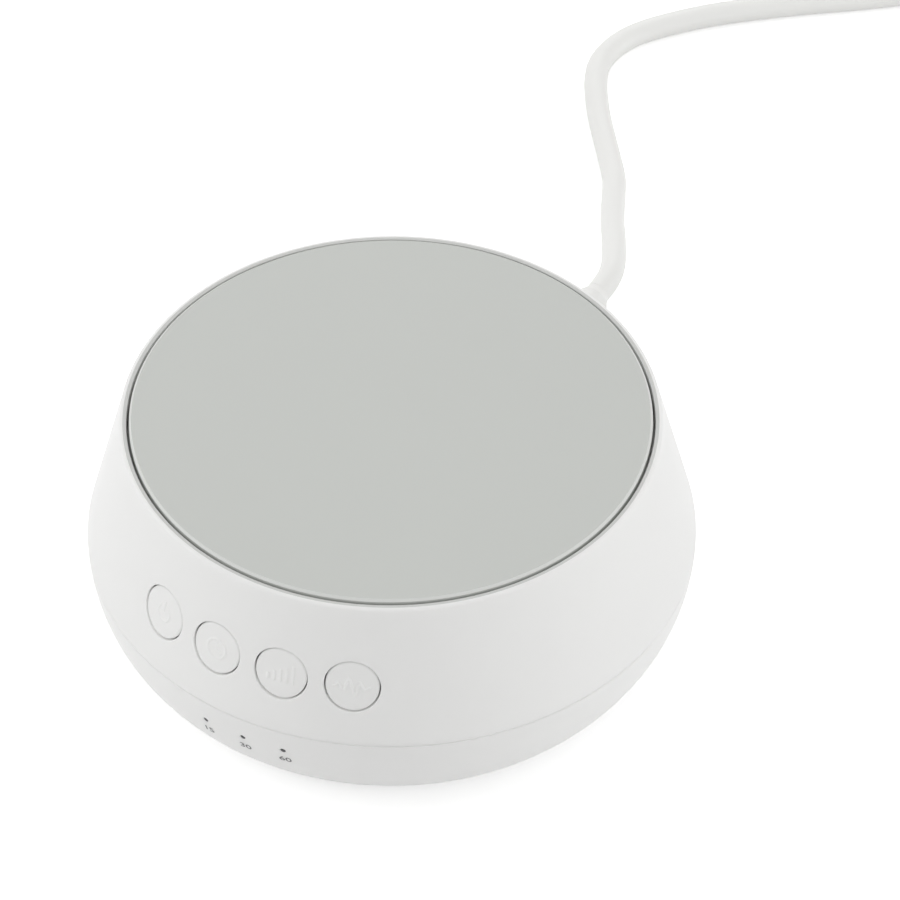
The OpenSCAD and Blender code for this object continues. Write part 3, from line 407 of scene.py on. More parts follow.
def rib(turn, r0, r1, z0, z1, half=0.7, foot_r1=None):
    """A thin web on edge between two radii, as eight corners. foot_r1 is its outer radius at z0,
    for a web whose outer edge has to stay inside a leaning wall."""
    x, y, z = np.meshgrid([-half, half], [-r1, -r0], [z0, z1], indexing="ij")
    if foot_r1:
        y[:, 0, 0] = -foot_r1
    a = math.radians(turn)
    flat = np.stack([x * math.cos(a) - y * math.sin(a), x * math.sin(a) + y * math.cos(a), z], axis=-1)
    faces = [[0, 1, 3, 2], [4, 6, 7, 5], [0, 4, 5, 1], [2, 3, 7, 6], [0, 2, 6, 4], [1, 5, 7, 3]]
    return flat.reshape(-1, 3), np.array(faces)


print("helpers for the wall, its ports, bosses and ribs are ready")

# %% [markdown]
# The upper half carries the buttons' openings with their collars, the narrow rim, the recess that
# the disc sits in, and the deck with the loudspeaker's guard. Its outline is closed: from the
# joint up the outer skin, over the rim, down to the deck and back inside. The rim has a flat top
# and a wide outer round, which catches a thin bright line of light all the way round.

# %% Upper housing
BUTTON_Z, BUTTON_STEP, BUTTON_HOLE_R, COLLAR_R, COLLAR_BACK = 36.35, 14.1, 5.2, 6.0, 49.86
BUTTON_TURNS = BUTTON_STEP * np.array([-1.5, -0.5, 0.5, 1.5])
SEAM = 0.3
DECK_Z, DECK_LOW, RECESS_R, MOUTH_R = 47.8, 45.8, 49.0, 22.7
RIM_TOP, RIM_ROUND, RIM_INNER_ROUND = 52.35, 0.6, 0.15
button_windows = [(t - 7.05, t + 7.05, BUTTON_Z - 6.6, BUTTON_Z + 6.6) for t in BUTTON_TURNS]
upper_turns = spread([-180.0, -28.2, -14.1, 0.0, 14.1, 28.2, 180.0], 0.75)
belly_rows = JOINT_Z + 6.0 * np.sin(np.linspace(math.asin(SEAM / 6.0), LEAN, 8))
upper_rows = np.concatenate([belly_rows, spread([BUTTON_Z - 6.6, BUTTON_Z + 6.6], 0.75),
                             spread([BUTTON_Z + 6.6 + 0.7, RIM_TOP - RIM_ROUND * (1 - math.sin(LEAN))], 0.8)])
inner_rows = np.concatenate([[JOINT_Z - 2.0, JOINT_Z, JOINT_Z + 0.5, JOINT_Z + 1.0, 27.5],
                             spread([BUTTON_Z - 6.6, BUTTON_Z + 6.6], 0.75), [44.5, DECK_LOW]])


def ring_of(profile, turns):
    """A turned strip on the same turns as a wall, so that the two meet point to point."""
    return turned_wall(profile, np.radians(turns), closed_turn=False)


rim_z = RIM_TOP - RIM_ROUND
rim_meet = rim_z + RIM_ROUND * math.sin(LEAN)
rim_r = float(upper_radius(rim_meet)) - RIM_ROUND * math.cos(LEAN)
rim_strip = ring_of([
    bow((rim_r, rim_z), RIM_ROUND, math.degrees(LEAN), 90, 9),
    bow((RECESS_R + RIM_INNER_ROUND, RIM_TOP - RIM_INNER_ROUND), RIM_INNER_ROUND, 90, 180, 4),
    [[RECESS_R, 51.5], [RECESS_R, 50.5], [RECESS_R, 49.0], [RECESS_R, DECK_Z]],
    [[44.0, DECK_Z], [34.0, DECK_Z], [28.0, DECK_Z], [MOUTH_R, DECK_Z]],
    [[MOUTH_R, DECK_LOW], [34.0, DECK_LOW], [float(upper_radius(DECK_LOW, WALL)), DECK_LOW]],
], upper_turns)
tongue_strip = ring_of([
    [[55.3, JOINT_Z - 2.0], [56.3, JOINT_Z - 2.0], [56.3, JOINT_Z], [57.2, JOINT_Z]],
    bow((57.2, JOINT_Z + SEAM), SEAM, -90, math.degrees(-math.atan2(0.0, 1.0)), 4)[1:-1],
    [[float(upper_radius(belly_rows[0])), belly_rows[0]]],
], upper_turns)
guard = [plug_hole([[[0, 46.8], [1.8, 46.8], [1.8, 47.8], [0, 47.8]]], 0, 0, 32)]
for r in (6.5, 11.5, 16.5):
    guard.append(turned_wall([[[r - 0.6, 46.8], [r + 0.6, 46.8], [r + 0.6, 47.75], [r - 0.6, 47.75],
                               [r - 0.6, 46.8]]], evenly(96)))
guard += [rib(t, 1.2, 23.0, 46.8, 47.7, 0.6) for t in range(0, 360, 60)]
columns = [plug_hole([[[0, 46.8], [3.5, 46.8], [3.5, 19.99], [1.45, 19.99], [1.45, 28.99], [0, 28.99]]], t, 38.0)
           for t in (60, 120, 240, 300)]
columns += [rib(t, 38.0, 50.9, 27.2, 45.9, foot_r1=56.0) for t in (60, 120, 240, 300)]
bosses = [plug_hole([[[0, 46.8], [2.8, 46.8], [2.8, 34.05], [0.95, 34.05], [0.95, 39.05], [0, 39.05]]], t, 37.16)
          for t in (-14.1, 14.1)]
bosses += [plug_hole([[[0, 46.8], [2.8, 46.8], [2.8, 44.8], [0.95, 44.8], [0.95, 47.2], [0, 47.2]]], t, 29.2)
           for t in (45, 135, 225, 315)]
upper = piece("upper_shell", [
    wall(upper_radius, 0.0, upper_rows, upper_turns, button_windows),
    wall(upper_radius, WALL, inner_rows, upper_turns, button_windows),
    rim_strip, tongue_strip, *guard, *columns, *bosses,
    *[port(upper_radius, upper_rows, upper_turns, w, BUTTON_Z, BUTTON_HOLE_R, 0.12, COLLAR_R, COLLAR_BACK)
      for w in button_windows],
], "housing", stands_for=("upper_housing",))

# %% [markdown]
# The lower half is the bowl. It has three pinholes for the timer lights at the front and a
# tunnel for the plug at the back. The flat base is filled in between its outer ring and the
# round holes by a Delaunay mesh, which needs no rows or columns; the rest uses the same helpers.

# %% Lower housing
LIGHT_Z, LIGHT_STEP, LIGHT_HOLE_R = 18.99, 8.2, 0.55
LIGHT_TURNS = LIGHT_STEP * np.array([-1.0, 0.0, 1.0])
BASE_Z, FLOOR_Z = 1.4, 3.6
JACK_WINDOW = (7.2, 20.59)
light_windows = [(t - 2.05, t + 2.05, LIGHT_Z - 1.6, LIGHT_Z + 1.6) for t in LIGHT_TURNS]
jack_window = (180.0 - 7.8, 180.0 + 7.8, *JACK_WINDOW)
lower_turns = spread([-90.0, -10.25, -6.15, -2.05, 2.05, 6.15, 10.25, 172.2, 187.8, 270.0], 0.75)
shared_rows = spread([7.2, LIGHT_Z - 1.6, LIGHT_Z + 1.6], 0.45)
foot_rows = 13.4 - 12.0 * np.cos(np.radians(np.linspace(math.degrees(math.asin(1.08 / 12)), 58, 20)))
lower_rows = np.concatenate([foot_rows[foot_rows < 7.0], shared_rows, spread([21.0, JOINT_Z - SEAM], 0.4)])
inner_foot = 13.4 - 9.8 * np.cos(np.radians(np.linspace(math.degrees(math.asin(1.08 / 9.8)), 50, 12)))
lower_inner_rows = np.concatenate([inner_foot[inner_foot < 7.0], shared_rows, [21.3, JOINT_Z - 2.2]])


def disc_with_holes(ring, holes, height):
    """Delaunay triangles between an outer ring and round holes, lifted to height(x, y). A triangle
    whose corners all lie on one hole's edge is inside that hole and is left out."""
    loops = [ring] + [np.array(c) + r * np.stack([np.cos(evenly(n)), np.sin(evenly(n))], axis=-1)
                      for c, r, n in holes]
    flat = np.vstack(loops)
    edges, start = [], 0
    for loop in loops:
        here = start + np.arange(len(loop))
        edges += np.stack([here, np.roll(here, -1)], axis=-1).tolist()
        start += len(loop)
    found = delaunay_2d_cdt([Vector(p) for p in flat], edges, [], 0, 1e-6)
    points = np.array([list(p) for p in found[0]])
    faces = np.array([list(face) for face in found[2]])
    keep = np.ones(len(faces), dtype=bool)
    for c, r, n in holes:
        keep &= np.linalg.norm(points[faces] - np.array(c), axis=2).max(axis=1) > r + 0.001
    return np.column_stack([points, height(points)]), faces[keep]


def at_turn(turn, r):
    """Flat place at a turn in degrees and a radius."""
    return (r * math.sin(math.radians(turn)), -r * math.cos(math.radians(turn)))


def base_height(foot_r, flat_z):
    """The flat base, and beyond radius 40.92 the start of the round that leads up to the bowl."""
    return lambda p: np.where(np.hypot(*p.T) > 40.93, 13.4 - math.sqrt(foot_r ** 2 - 1.08 ** 2), flat_z)


ring42 = 42.0 * np.stack([np.sin(np.radians(lower_turns[:-1])), -np.cos(np.radians(lower_turns[:-1]))], axis=-1)
SCREWS, FEET = (60, 120, 240, 300), (45, 135, 225, 315)
screw_holes = [(at_turn(t, 38.0), 3.1, 48) for t in SCREWS]
foot_holes = [(at_turn(t, 31.0), 5.6, 64) for t in FEET]
base_out = disc_with_holes(ring42, screw_holes + foot_holes, base_height(12.0, BASE_Z))
base_in = disc_with_holes(ring42, screw_holes, base_height(9.8, FLOOR_Z))


def round_at(place, r, z, count):
    """A level ring of points about a place, as disc_with_holes makes it."""
    a = evenly(count)
    return np.column_stack([place[0] + r * np.cos(a), place[1] + r * np.sin(a), np.full(count, z)])


def lift_of(place):
    """Height of the flat base at the screw holes' outer edge, taken as BASE_Z."""
    return BASE_Z


pockets = []
for p, r, n in foot_holes:
    low, high = round_at(p, r, BASE_Z, n), round_at(p, r, BASE_Z + 1.0, n)
    pockets += [(np.vstack([low, high]), grid_faces(2, n, ring=True)), fan(high)]
base_points_out, base_points_in = base_out[0], base_in[0]
for p, r, n in screw_holes:
    low, high = round_at(p, r, BASE_Z, n), round_at(p, r, FLOOR_Z, n)
    low[:, 2] = base_height(12.0, BASE_Z)(low[:, :2])
    high[:, 2] = base_height(9.8, FLOOR_Z)(high[:, :2])
    pockets.append((np.vstack([low, high]), grid_faces(2, n, ring=True)))
sleeves = [plug_hole([[[3.1, 3.55], [4.2, 3.55], [4.2, 19.79], [1.7, 19.79], [1.7, 12.99], [3.1, 12.99],
                       [3.1, 3.55]]], t, 38.0) for t in SCREWS]
sleeves += [rib(t, 41.9, top_r, z, z + 6.0, foot_r1=foot_r) for t in SCREWS
            for z, foot_r, top_r in ((3.2, 46.3, 51.0), (9.0, 51.2, 54.6))]
standoffs = [plug_hole([[[0, 2.5], [2.5, 2.5], [2.5, 5.8], [1.05, 5.8], [1.05, 2.6], [0, 2.6]]], t, r, 32)
             for t, r in ((90, 31.0), (270, 31.0), (0, 19.0), (180, 28.0))]
foot_radius = lambda z, depth=0.0: float(lower_radius(z, depth))
joint_strip = ring_of([
    [[foot_radius(lower_rows[-1]), lower_rows[-1]]],
    bow((57.2, JOINT_Z - SEAM), SEAM, 0, 90, 4)[1:],
    [[56.45, JOINT_Z], [56.45, JOINT_Z - 2.2], [foot_radius(JOINT_Z - 2.2, WALL), JOINT_Z - 2.2]],
], lower_turns)
lower = piece("lower_shell", [
    wall(lower_radius, 0.0, lower_rows, lower_turns, light_windows + [jack_window]),
    wall(lower_radius, WALL, lower_inner_rows, lower_turns, light_windows + [jack_window]),
    joint_strip, base_out, base_in, *pockets, *sleeves, *standoffs,
    *[port(lower_radius, lower_rows, lower_turns, w, LIGHT_Z, LIGHT_HOLE_R, 0.06, 1.4, 56.09)
      for w in light_windows],
    port(lower_radius, lower_rows, lower_turns, jack_window, PLUG_Z, 5.2, 0.3, 6.4, PLUG_FRONT),
], "housing", stands_for=("lower_housing",))

# %% [markdown]
# The disc is a flat grey plate. It covers the loudspeaker, whose sound leaves by the slot round
# it. It is turned too. Its top edge is a small chamfer, which faces the lamps at the sides and
# shows as one pale line there, made paler still by a painted highlight in its finish, and both edges of the chamfer
# are softened by tiny arcs.

# %% Top disc
COVER_Z, COVER_TOP, COVER_R, LOW_BEVEL = 50.7, 52.9, 48.5, 0.3
COVER_EDGE, EDGE_SOFT = 0.4, 0.1
soft_reach = EDGE_SOFT * math.tan(math.radians(22.5))
disc_profile = [
    [[0.0, COVER_Z], [20.0, COVER_Z], [COVER_R - LOW_BEVEL, COVER_Z]],
    [[COVER_R, COVER_Z + LOW_BEVEL], [COVER_R, COVER_TOP - 0.8]],
    bow((COVER_R - EDGE_SOFT, COVER_TOP - COVER_EDGE - soft_reach), EDGE_SOFT, 0, 45, 3),
    bow((COVER_R - COVER_EDGE - soft_reach, COVER_TOP - EDGE_SOFT), EDGE_SOFT, 45, 90, 3),
    [[r, COVER_TOP] for r in (48.0, 47.9, 47.2, 46.0, 42.0, 30.0, 15.0, 0.0)],
]
posts = [plug_hole([[[0, 51.5], [3.0, 51.5], [3.0, DECK_Z], [0.95, DECK_Z], [0.95, 51.3], [0, 51.3]]], t, 36.0)
         for t in FEET]
disc = piece("disc", [turned_wall(disc_profile, evenly(480)), *posts], "housing",
             stands_for=("top_cover",))

# %% [markdown]
# Each button is a cap that follows the shell's skin, a tenth of a millimetre below it, with a
# rounded edge, and behind it the plate that keeps it in and the plunger that works its switch.
# The faint signs on them are raised by a height map: a stroke is the set of points nearer to a
# line than half its width, and the height falls off smoothly beside it.

# %% Buttons with raised signs
CAP_R, CAP_EDGE, CAP_SINK, SIGN_RISE, SIGN_SOFT = 4.95, 0.35, 0.12, 0.12, 0.15


def stroke(x, z, ends, width):
    """Distance to a line from one end to the other, less half the width."""
    (x0, z0), (x1, z1) = ends
    wx, wz = x1 - x0, z1 - z0
    s = np.clip(((x - x0) * wx + (z - z0) * wz) / (wx ** 2 + wz ** 2), 0, 1)
    return np.hypot(x - x0 - s * wx, z - z0 - s * wz) - width / 2


def hoop(x, z, r, width, gap=0.0):
    """Distance to a circle of radius r, less half the width, open for gap degrees at its top."""
    angle = np.degrees(np.arctan2(x, z))
    ring = np.abs(np.hypot(x, z) - r) - width / 2
    return np.where(np.abs(angle) < gap / 2, 9.0, ring)


def power_sign(x, z):
    return np.minimum(hoop(x, z, 1.6, 0.45, 70), stroke(x, z, ((0, 0.5), (0, 2.2)), 0.45))


def timer_sign(x, z):
    hands = np.minimum(stroke(x, z, ((0, 0), (0, 1.3)), 0.4), stroke(x, z, ((0, 0), (0.95, -0.55)), 0.4))
    return np.minimum(hoop(x, z, 2.0, 0.42), hands)


def volume_sign(x, z):
    bars = [stroke(x, z, ((u, -1.4), (u, top)), 0.5) for u, top in ((-2.4, -0.6), (-1.2, 0.1), (0, 0.7), (1.2, 1.3), (2.4, 1.9))]
    return np.minimum.reduce(bars)


def sound_sign(x, z):
    line = [(-3.3, 0), (-2.5, 0.6), (-1.6, -1.0), (-0.6, 1.9), (0.5, -1.7), (1.4, 1.0), (2.3, -0.6), (3.2, 0)]
    return np.minimum.reduce([stroke(x, z, ends, 0.4) for ends in zip(line[:-1], line[1:])])


def button(use, turn, sign):
    """Cap: x = p cos f, z = z0 + p sin f, y on the skin less the sink and the sign's height."""
    f = evenly(256)[None, :]
    p = np.concatenate([np.linspace(0, CAP_R - CAP_EDGE, 48), np.full(7, CAP_R), [CAP_R, CAP_R, CAP_R]])[:, None]
    q = np.radians(np.linspace(0, 90, 8))[1:]
    p[48:55, 0] = CAP_R - CAP_EDGE * (1 - np.sin(q))
    x, z = p * np.cos(f), p * np.sin(f)
    y = -np.sqrt(upper_radius(BUTTON_Z + z, CAP_SINK) ** 2 - x ** 2)
    fade = np.clip(0.5 - sign(x, z) / SIGN_SOFT, 0, 1)
    y -= SIGN_RISE * fade ** 2 * (3 - 2 * fade)
    y[48:55] += (CAP_EDGE * (1 - np.cos(q)))[:, None]
    y[55:] += CAP_EDGE
    side_y = y[55].copy()
    y[55], y[56], y[57] = side_y + 0.3, (side_y - 49.4) / 2, -49.4
    front = np.stack([x, y, BUTTON_Z + z], axis=-1)
    a = math.radians(turn)
    swing = np.array([[math.cos(a), math.sin(a), 0], [-math.sin(a), math.cos(a), 0], [0, 0, 1]])
    cap = (front.reshape(-1, 3) @ swing, grid_faces(len(p), 256, ring=True))
    ear = rib(turn, 48.36, 49.56, BUTTON_Z - 6.0, BUTTON_Z + 6.0, 3.5)
    rod_profile = [[[0, 45.96], [1.8, 45.96], [2.0, 46.16], [2.0, 49.2], [0, 49.2]]]
    rod_points, rod_faces = turned_wall(rod_profile, evenly(32), axis=REARWARDS)
    rod = ((rod_points * [1, -1, 1] + [0, 0, BUTTON_Z]) @ swing, rod_faces)
    return piece(f"cap_{use}", [cap, fan(cap[0][-256:]), ear, rod], f"{use}_key",
                 stands_for=(f"button_{use}",))


signs = {"power": power_sign, "timer": timer_sign, "volume": volume_sign, "sound": sound_sign}
buttons = [button(use, t, sign) for (use, sign), t in zip(signs.items(), BUTTON_TURNS)]

# %% [markdown]
# The light's guide ends a millimetre behind each pinhole. A small tinted window closes the hole
# and makes it look nearly black while the light is off. It is turned about the hole's own level
# axis and stays just below the bowl's skin, whose lower edge lies further in than its upper one.

# %% Windows of the timer lights
WINDOW_R, WINDOW_SINK, WINDOW_DEPTH = 0.53, 0.14, 0.9


def window(turn):
    """A plug with softened front edge; its level axis points outwards at the turn."""
    front = float(lower_radius(LIGHT_Z)) - WINDOW_SINK
    back = front - WINDOW_DEPTH
    profile = [[[0, back], [WINDOW_R, back]], bow((WINDOW_R - 0.08, front - 0.08), 0.08, 0, 90, 4), [[0, front]]]
    points, faces = turned_wall(profile, evenly(32), axis=REARWARDS)
    a = math.radians(turn)
    swing = np.array([[math.cos(a), math.sin(a), 0], [-math.sin(a), math.cos(a), 0], [0, 0, 1]])
    return (points * [1, -1, 1] + [0, 0, LIGHT_Z]) @ swing, faces


windows = piece("light_windows", [window(t) for t in LIGHT_TURNS], "housing")

# %% [markdown]
# Under each light stands its time in minutes, printed in grey. Blender's text object makes the
# figures; turned into a flat mesh, each of its points is laid on the bowl's skin, a few
# hundredths of a millimetre proud, so the print curves with the shell.

# %% Printed minutes
PRINT_Z, PRINT_SIZE, PRINT_ASIDE, PRINT_PROUD = 15.95, 2.2, 0.1, 0.03


def printed(name, text, turn):
    """Flat text in the (u, v) plane; u goes round the shell, v is measured along its height."""
    curve = bpy.data.curves.new(name, "FONT")
    curve.body, curve.size, curve.align_x, curve.align_y = text, PRINT_SIZE, "CENTER", "CENTER"
    curve.offset = 0.03
    maker = bpy.data.objects.new(name, curve)
    bpy.context.scene.collection.objects.link(maker)
    mesh = bpy.data.meshes.new_from_object(maker.evaluated_get(bpy.context.evaluated_depsgraph_get()))
    bpy.data.objects.remove(maker)
    flat = np.zeros(len(mesh.vertices) * 3)
    mesh.vertices.foreach_get("co", flat)
    u, v = flat.reshape(-1, 3)[:, 0], flat.reshape(-1, 3)[:, 1]
    z = PRINT_Z + v * 0.95
    turns = turn + PRINT_ASIDE + np.degrees(1.15 * u / float(lower_radius(PRINT_Z)))
    laid = skin_points(lower_radius, turns, z, -PRINT_PROUD)
    mesh.vertices.foreach_set("co", (laid * MM).reshape(-1))
    made = bpy.data.objects.new(name, mesh)
    bpy.context.scene.collection.objects.link(made)
    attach(made, "housing")
    return made


prints = [printed(f"minutes_{text}", text, t) for text, t in zip(("15", "30", "60"), LIGHT_TURNS)]
print("printed:", [len(made.data.polygons) for made in prints], "faces")

# %% [markdown]
# Inside, the loudspeaker's cone slides by a millimetre each way. Its rubber surround and its cloth
# spider are held at their outer edge and go with the cone at their inner edge; here each is made as slices of a
# ring that ride on no body.

# %% Rings round the cone
FLANGE_Z, LIP_Z, SPIDER_Z, SPIDER_T, SLICES = 44.8, 43.52, 36.9, 0.35, 12


def ring_slices(name, above, below, stands_for, still_r, moving_r, z):
    """Slices of a ring between two (r, z) lines of equal length, closed at both ends. still_r,
    moving_r and z are not used."""
    above, below = np.asarray(above), np.asarray(below)
    profile, count, made = np.vstack([above, below[::-1], above[:1]]), len(above), []
    for number in range(SLICES):
        middle = 2 * math.pi * number / SLICES
        angles = middle + np.linspace(-math.pi, math.pi, 13) / SLICES
        points, faces = turned_wall([profile], angles, closed_turn=False)
        ends = [points.reshape(len(profile), 13, 3)[:, side] for side in (0, -1)]
        caps = [(np.vstack([end[:count], end[2 * count - 1:count - 1:-1]]), grid_faces(2, count)) for end in ends]
        part = piece(f"{name}_{number + 1}", [(points, faces), *caps], None, stands_for=(stands_for,))
        way = np.array([math.sin(middle), -math.cos(middle), 0.0])
        start, end = (tuple((way * r + [0, 0, z]) * MM) for r in (still_r, moving_r))
        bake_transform(part)
        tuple(start)
        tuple(end)
        made.append(part)
    return made


roll_above = np.vstack([[[23.4, FLANGE_Z + 0.5]], bow((20.3, FLANGE_Z), 1.8, 20, 180, 16), [[18.5, LIP_Z]]])
roll_below = np.vstack([[[23.4, FLANGE_Z]], bow((20.3, FLANGE_Z), 1.3, 0, 180, 16), [[19.0, LIP_Z]]])
surround = ring_slices("surround", roll_above, roll_below, "speaker_surround", 21.0, 19.3, FLANGE_Z)
across = np.linspace(0, 1, 55)
waves = np.stack([6.62 + 7.58 * across, SPIDER_Z + 0.6 * (1 - np.cos(6 * np.pi * across))], axis=-1)
spider = ring_slices("spider", waves + [0, SPIDER_T], waves, "speaker_spider", 12.4, 8.8, SPIDER_Z)

# %% [markdown]
# Finishes are node trees. Written out link by link they are hard to read, so a small class wraps
# a socket and lets Python's own signs build the Math nodes: 1 - mask is then one expression.
# Every other node comes from one method that takes its type, its settings and its inputs.

# %% Shader arithmetic
class Value:
    """A number on a socket. +, -, * and ** with numbers or other values add Math nodes."""

    def __init__(self, finish, socket):
        self.finish, self.socket = finish, socket

    def reckon(self, operation, first, second):
        return self.finish.node("ShaderNodeMath", {"operation": operation}, {0: first, 1: second})

    def __add__(self, other):
        return self.reckon("ADD", self, other)

    def __sub__(self, other):
        return self.reckon("SUBTRACT", self, other)

    def __rsub__(self, other):
        return self.reckon("SUBTRACT", other, self)

    def __mul__(self, other):
        return self.reckon("MULTIPLY", self, other)

    def __gt__(self, other):
        return self.reckon("GREATER_THAN", self, other)

    __radd__ = __add__
    __rmul__ = __mul__


class Finish:
    """One material, its Principled shader and the patterns that feed it."""

    def __init__(self, name, **sockets):
        self.material = bpy.data.materials.new(name)
        self.material.use_nodes = True
        self.tree = self.material.node_tree
        self.shader = self.tree.nodes["Principled BSDF"]
        self.feed(self.shader, sockets)
        self.place = self.node("ShaderNodeTexCoord", output="Object")

    def feed(self, node, sockets):
        for key, value in sockets.items():
            socket = node.inputs[key.replace("_", " ") if isinstance(key, str) else key]
            if isinstance(value, Value):
                self.tree.links.new(value.socket, socket)
            else:
                socket.default_value = value

    def node(self, kind, settings=None, inputs=None, output=0):
        made = self.tree.nodes.new(kind)
        for key, value in (settings or {}).items():
            setattr(made, key, value)
        self.feed(made, inputs or {})
        return Value(self, made.outputs[output])

    def grain(self, size, detail=2.0, rough=0.5):
        """Noise between 0 and 1 whose blotches are about size millimetres across."""
        return self.node("ShaderNodeTexNoise", None, {"Vector": self.place, "Scale": 1000.0 / size,
                                                      "Detail": detail, "Roughness": rough})

    def from_axis(self):
        """Distance from the machine's upright axis, in metres."""
        flat = self.node("ShaderNodeVectorMath", {"operation": "MULTIPLY"}, {0: self.place, 1: (1.0, 1.0, 0.0)})
        return self.node("ShaderNodeVectorMath", {"operation": "LENGTH"}, {0: flat}, output="Value")

    def height(self):
        """Height above the table, in metres."""
        return self.node("ShaderNodeSeparateXYZ", None, {0: self.place}, output=2)

    def mix(self, share, first, second):
        return self.node("ShaderNodeMix", {"data_type": "RGBA"}, {0: share, 6: first, 7: second}, output=2)

    def bump(self, height, depth, strength=1.0):
        """Dents and rises of about depth millimetres."""
        normal = self.node("ShaderNodeBump", None, {"Height": height, "Distance": depth * MM, "Strength": strength})
        self.feed(self.shader, {"Normal": normal})
        return self


def tone(colour, share):
    """A colour made lighter or darker by a share, still opaque."""
    return (*(min(c * (1 + share), 1.0) for c in colour[:3]), 1.0)


print("finishes can be written as expressions")

# %% [markdown]
# The shell, the lead and the adapter are white plastics that differ in gloss and grain. Moulded
# parts come out of a spark-eroded mould with a fine even texture, which blurs the highlights; a
# cloudy variation of a percent or so keeps large areas from looking painted. One recipe serves
# them all, with the grain's size and depth as its numbers.

# %% Moulded plastics
def moulded(name, colour, roughness, grain_size, grain_depth, cloud=0.012, gloss_spread=0.06, patch=None, **more):
    finish = Finish(name, **more)
    cloudy = finish.grain(22.0, 3.0)
    fine = finish.grain(grain_size, 2.0, 0.6)
    skin = finish.mix(cloudy, tone(colour, -cloud), tone(colour, cloud))
    if patch:
        share, patch_colour = patch(finish)
        skin = finish.mix(share, skin, patch_colour)
    finish.feed(finish.shader, {
        "Base_Color": skin,
        "Roughness": roughness + gloss_spread * (fine - 0.5),
    })
    return finish.bump(fine, grain_depth)


def rim_painted_shade(finish):
    """Painted shade: the rim's flat top, from the slot to where the outer round begins, coloured grey to stand for
    the shade that the disc's raised edge casts on it.
    """
    r = finish.from_axis()
    return ((r > 0.0489) - (r > 0.0497)) * (finish.height() > 0.052), (0.62, 0.625, 0.61, 1.0)


def disc_edge_painted_highlight(finish):
    """Painted highlight: the disc's chamfer is given a paler grey than its top, standing in for the bright line the
    side lamps put on it.
    """
    return (finish.from_axis() > 0.04808) * (finish.height() > 0.05245), (0.69, 0.7, 0.68, 1.0)


WHITE, GREY, CABLE_WHITE = (0.85, 0.85, 0.84), (0.56, 0.575, 0.55), (0.84, 0.84, 0.82)
GLOW_THROUGH = {"Subsurface_Weight": 0.5, "Subsurface_Radius": (1.0, 1.0, 1.0), "Subsurface_Scale": 0.0012}
# The shell's finish carries a painted shade: a grey ring on the rim's flat top beside the disc.
shell_finish = moulded("satin_white_shell", WHITE, 0.42, 0.35, 0.012, patch=rim_painted_shade, Specular_IOR_Level=0.2,
                       **GLOW_THROUGH)
# The disc's finish carries a painted highlight: its chamfer is a paler grey than its top.
cover_finish = moulded("matte_grey_disc", GREY, 0.62, 0.30, 0.016, cloud=0.01, patch=disc_edge_painted_highlight)
lead_finish = moulded("soft_white_cable", CABLE_WHITE, 0.50, 0.9, 0.02, cloud=0.015)
adapter_finish = moulded("white_adapter", CABLE_WHITE, 0.45, 0.4, 0.015)
black_finish = moulded("black_moulding", (0.022, 0.022, 0.024), 0.5, 0.4, 0.02, cloud=0.1)
nylon_finish = moulded("natural_nylon", (0.74, 0.73, 0.66), 0.4, 0.5, 0.01, cloud=0.03, Subsurface_Weight=0.1)
rubber_finish = moulded("soft_rubber", (0.035, 0.035, 0.037), 0.75, 0.6, 0.04, cloud=0.12)
foot_finish = moulded("foot_rubber", (0.2, 0.2, 0.2), 0.8, 0.7, 0.05, cloud=0.06)
clear_finish = moulded("clear_light_guide", (0.85, 0.9, 0.92), 0.12, 2.0, 0.004, Transmission_Weight=0.6)
window_finish = moulded("smoky_window", (0.07, 0.07, 0.075), 0.12, 2.0, 0.004, Transmission_Weight=0.3)

# %% [markdown]
# Inside, unseen until the shell is opened, are a loudspeaker and two boards. Each still gets its
# own finish: pressed cloth with a weave, a paper-like cone, copper turns, ferrite with its
# speckles, plated steel with fine scratches, and a green board with lighter copper runs.

# %% Finishes of the inner parts
def cone_of():
    finish = Finish("pressed_cone", Roughness=0.7)
    fibre = finish.grain(0.5, 4.0, 0.7)
    finish.feed(finish.shader, {"Base_Color": finish.mix(fibre, (0.018, 0.018, 0.02, 1), (0.05, 0.05, 0.052, 1))})
    return finish.bump(fibre, 0.05)


def cloth_of():
    finish = Finish("stiffened_cloth", Roughness=0.85)
    warp = finish.node("ShaderNodeTexWave", {"bands_direction": "X"}, {"Vector": finish.place, "Scale": 300.0})
    weft = finish.node("ShaderNodeTexWave", {"bands_direction": "Y"}, {"Vector": finish.place, "Scale": 300.0})
    weave = 0.5 * (warp + weft)
    finish.feed(finish.shader, {"Base_Color": finish.mix(weave, (0.3, 0.18, 0.05, 1), (0.62, 0.44, 0.17, 1))})
    return finish.bump(weave, 0.06)


def winding_of():
    finish = Finish("enamelled_copper", Metallic=0.8, Roughness=0.32)
    turns = finish.node("ShaderNodeTexWave", {"bands_direction": "Z"}, {"Vector": finish.place, "Scale": 1100.0})
    finish.feed(finish.shader, {"Base_Color": finish.mix(turns, (0.25, 0.08, 0.02, 1), (0.72, 0.34, 0.12, 1))})
    return finish.bump(turns, 0.05)


def metal_of(name, colour, roughness, scratch=0.15):
    finish = Finish(name, Metallic=1.0)
    stretched = finish.node("ShaderNodeMapping", None, {"Vector": finish.place, "Scale": (1.0, 1.0, 14.0)})
    brushed = finish.node("ShaderNodeTexNoise", None, {"Vector": stretched, "Scale": 900.0, "Detail": 4.0})
    finish.feed(finish.shader, {
        "Base_Color": finish.mix(brushed, tone(colour, -0.12), tone(colour, 0.1)),
        "Roughness": roughness + scratch * (brushed - 0.5),
    })
    return finish.bump(brushed, 0.006)


def ferrite_of():
    finish = Finish("ferrite", Roughness=0.55)
    speck = finish.grain(0.8, 5.0, 0.8) > 0.62
    finish.feed(finish.shader, {"Base_Color": finish.mix(speck, (0.05, 0.05, 0.055, 1), (0.12, 0.12, 0.125, 1))})
    return finish.bump(finish.grain(1.5, 4.0), 0.04)


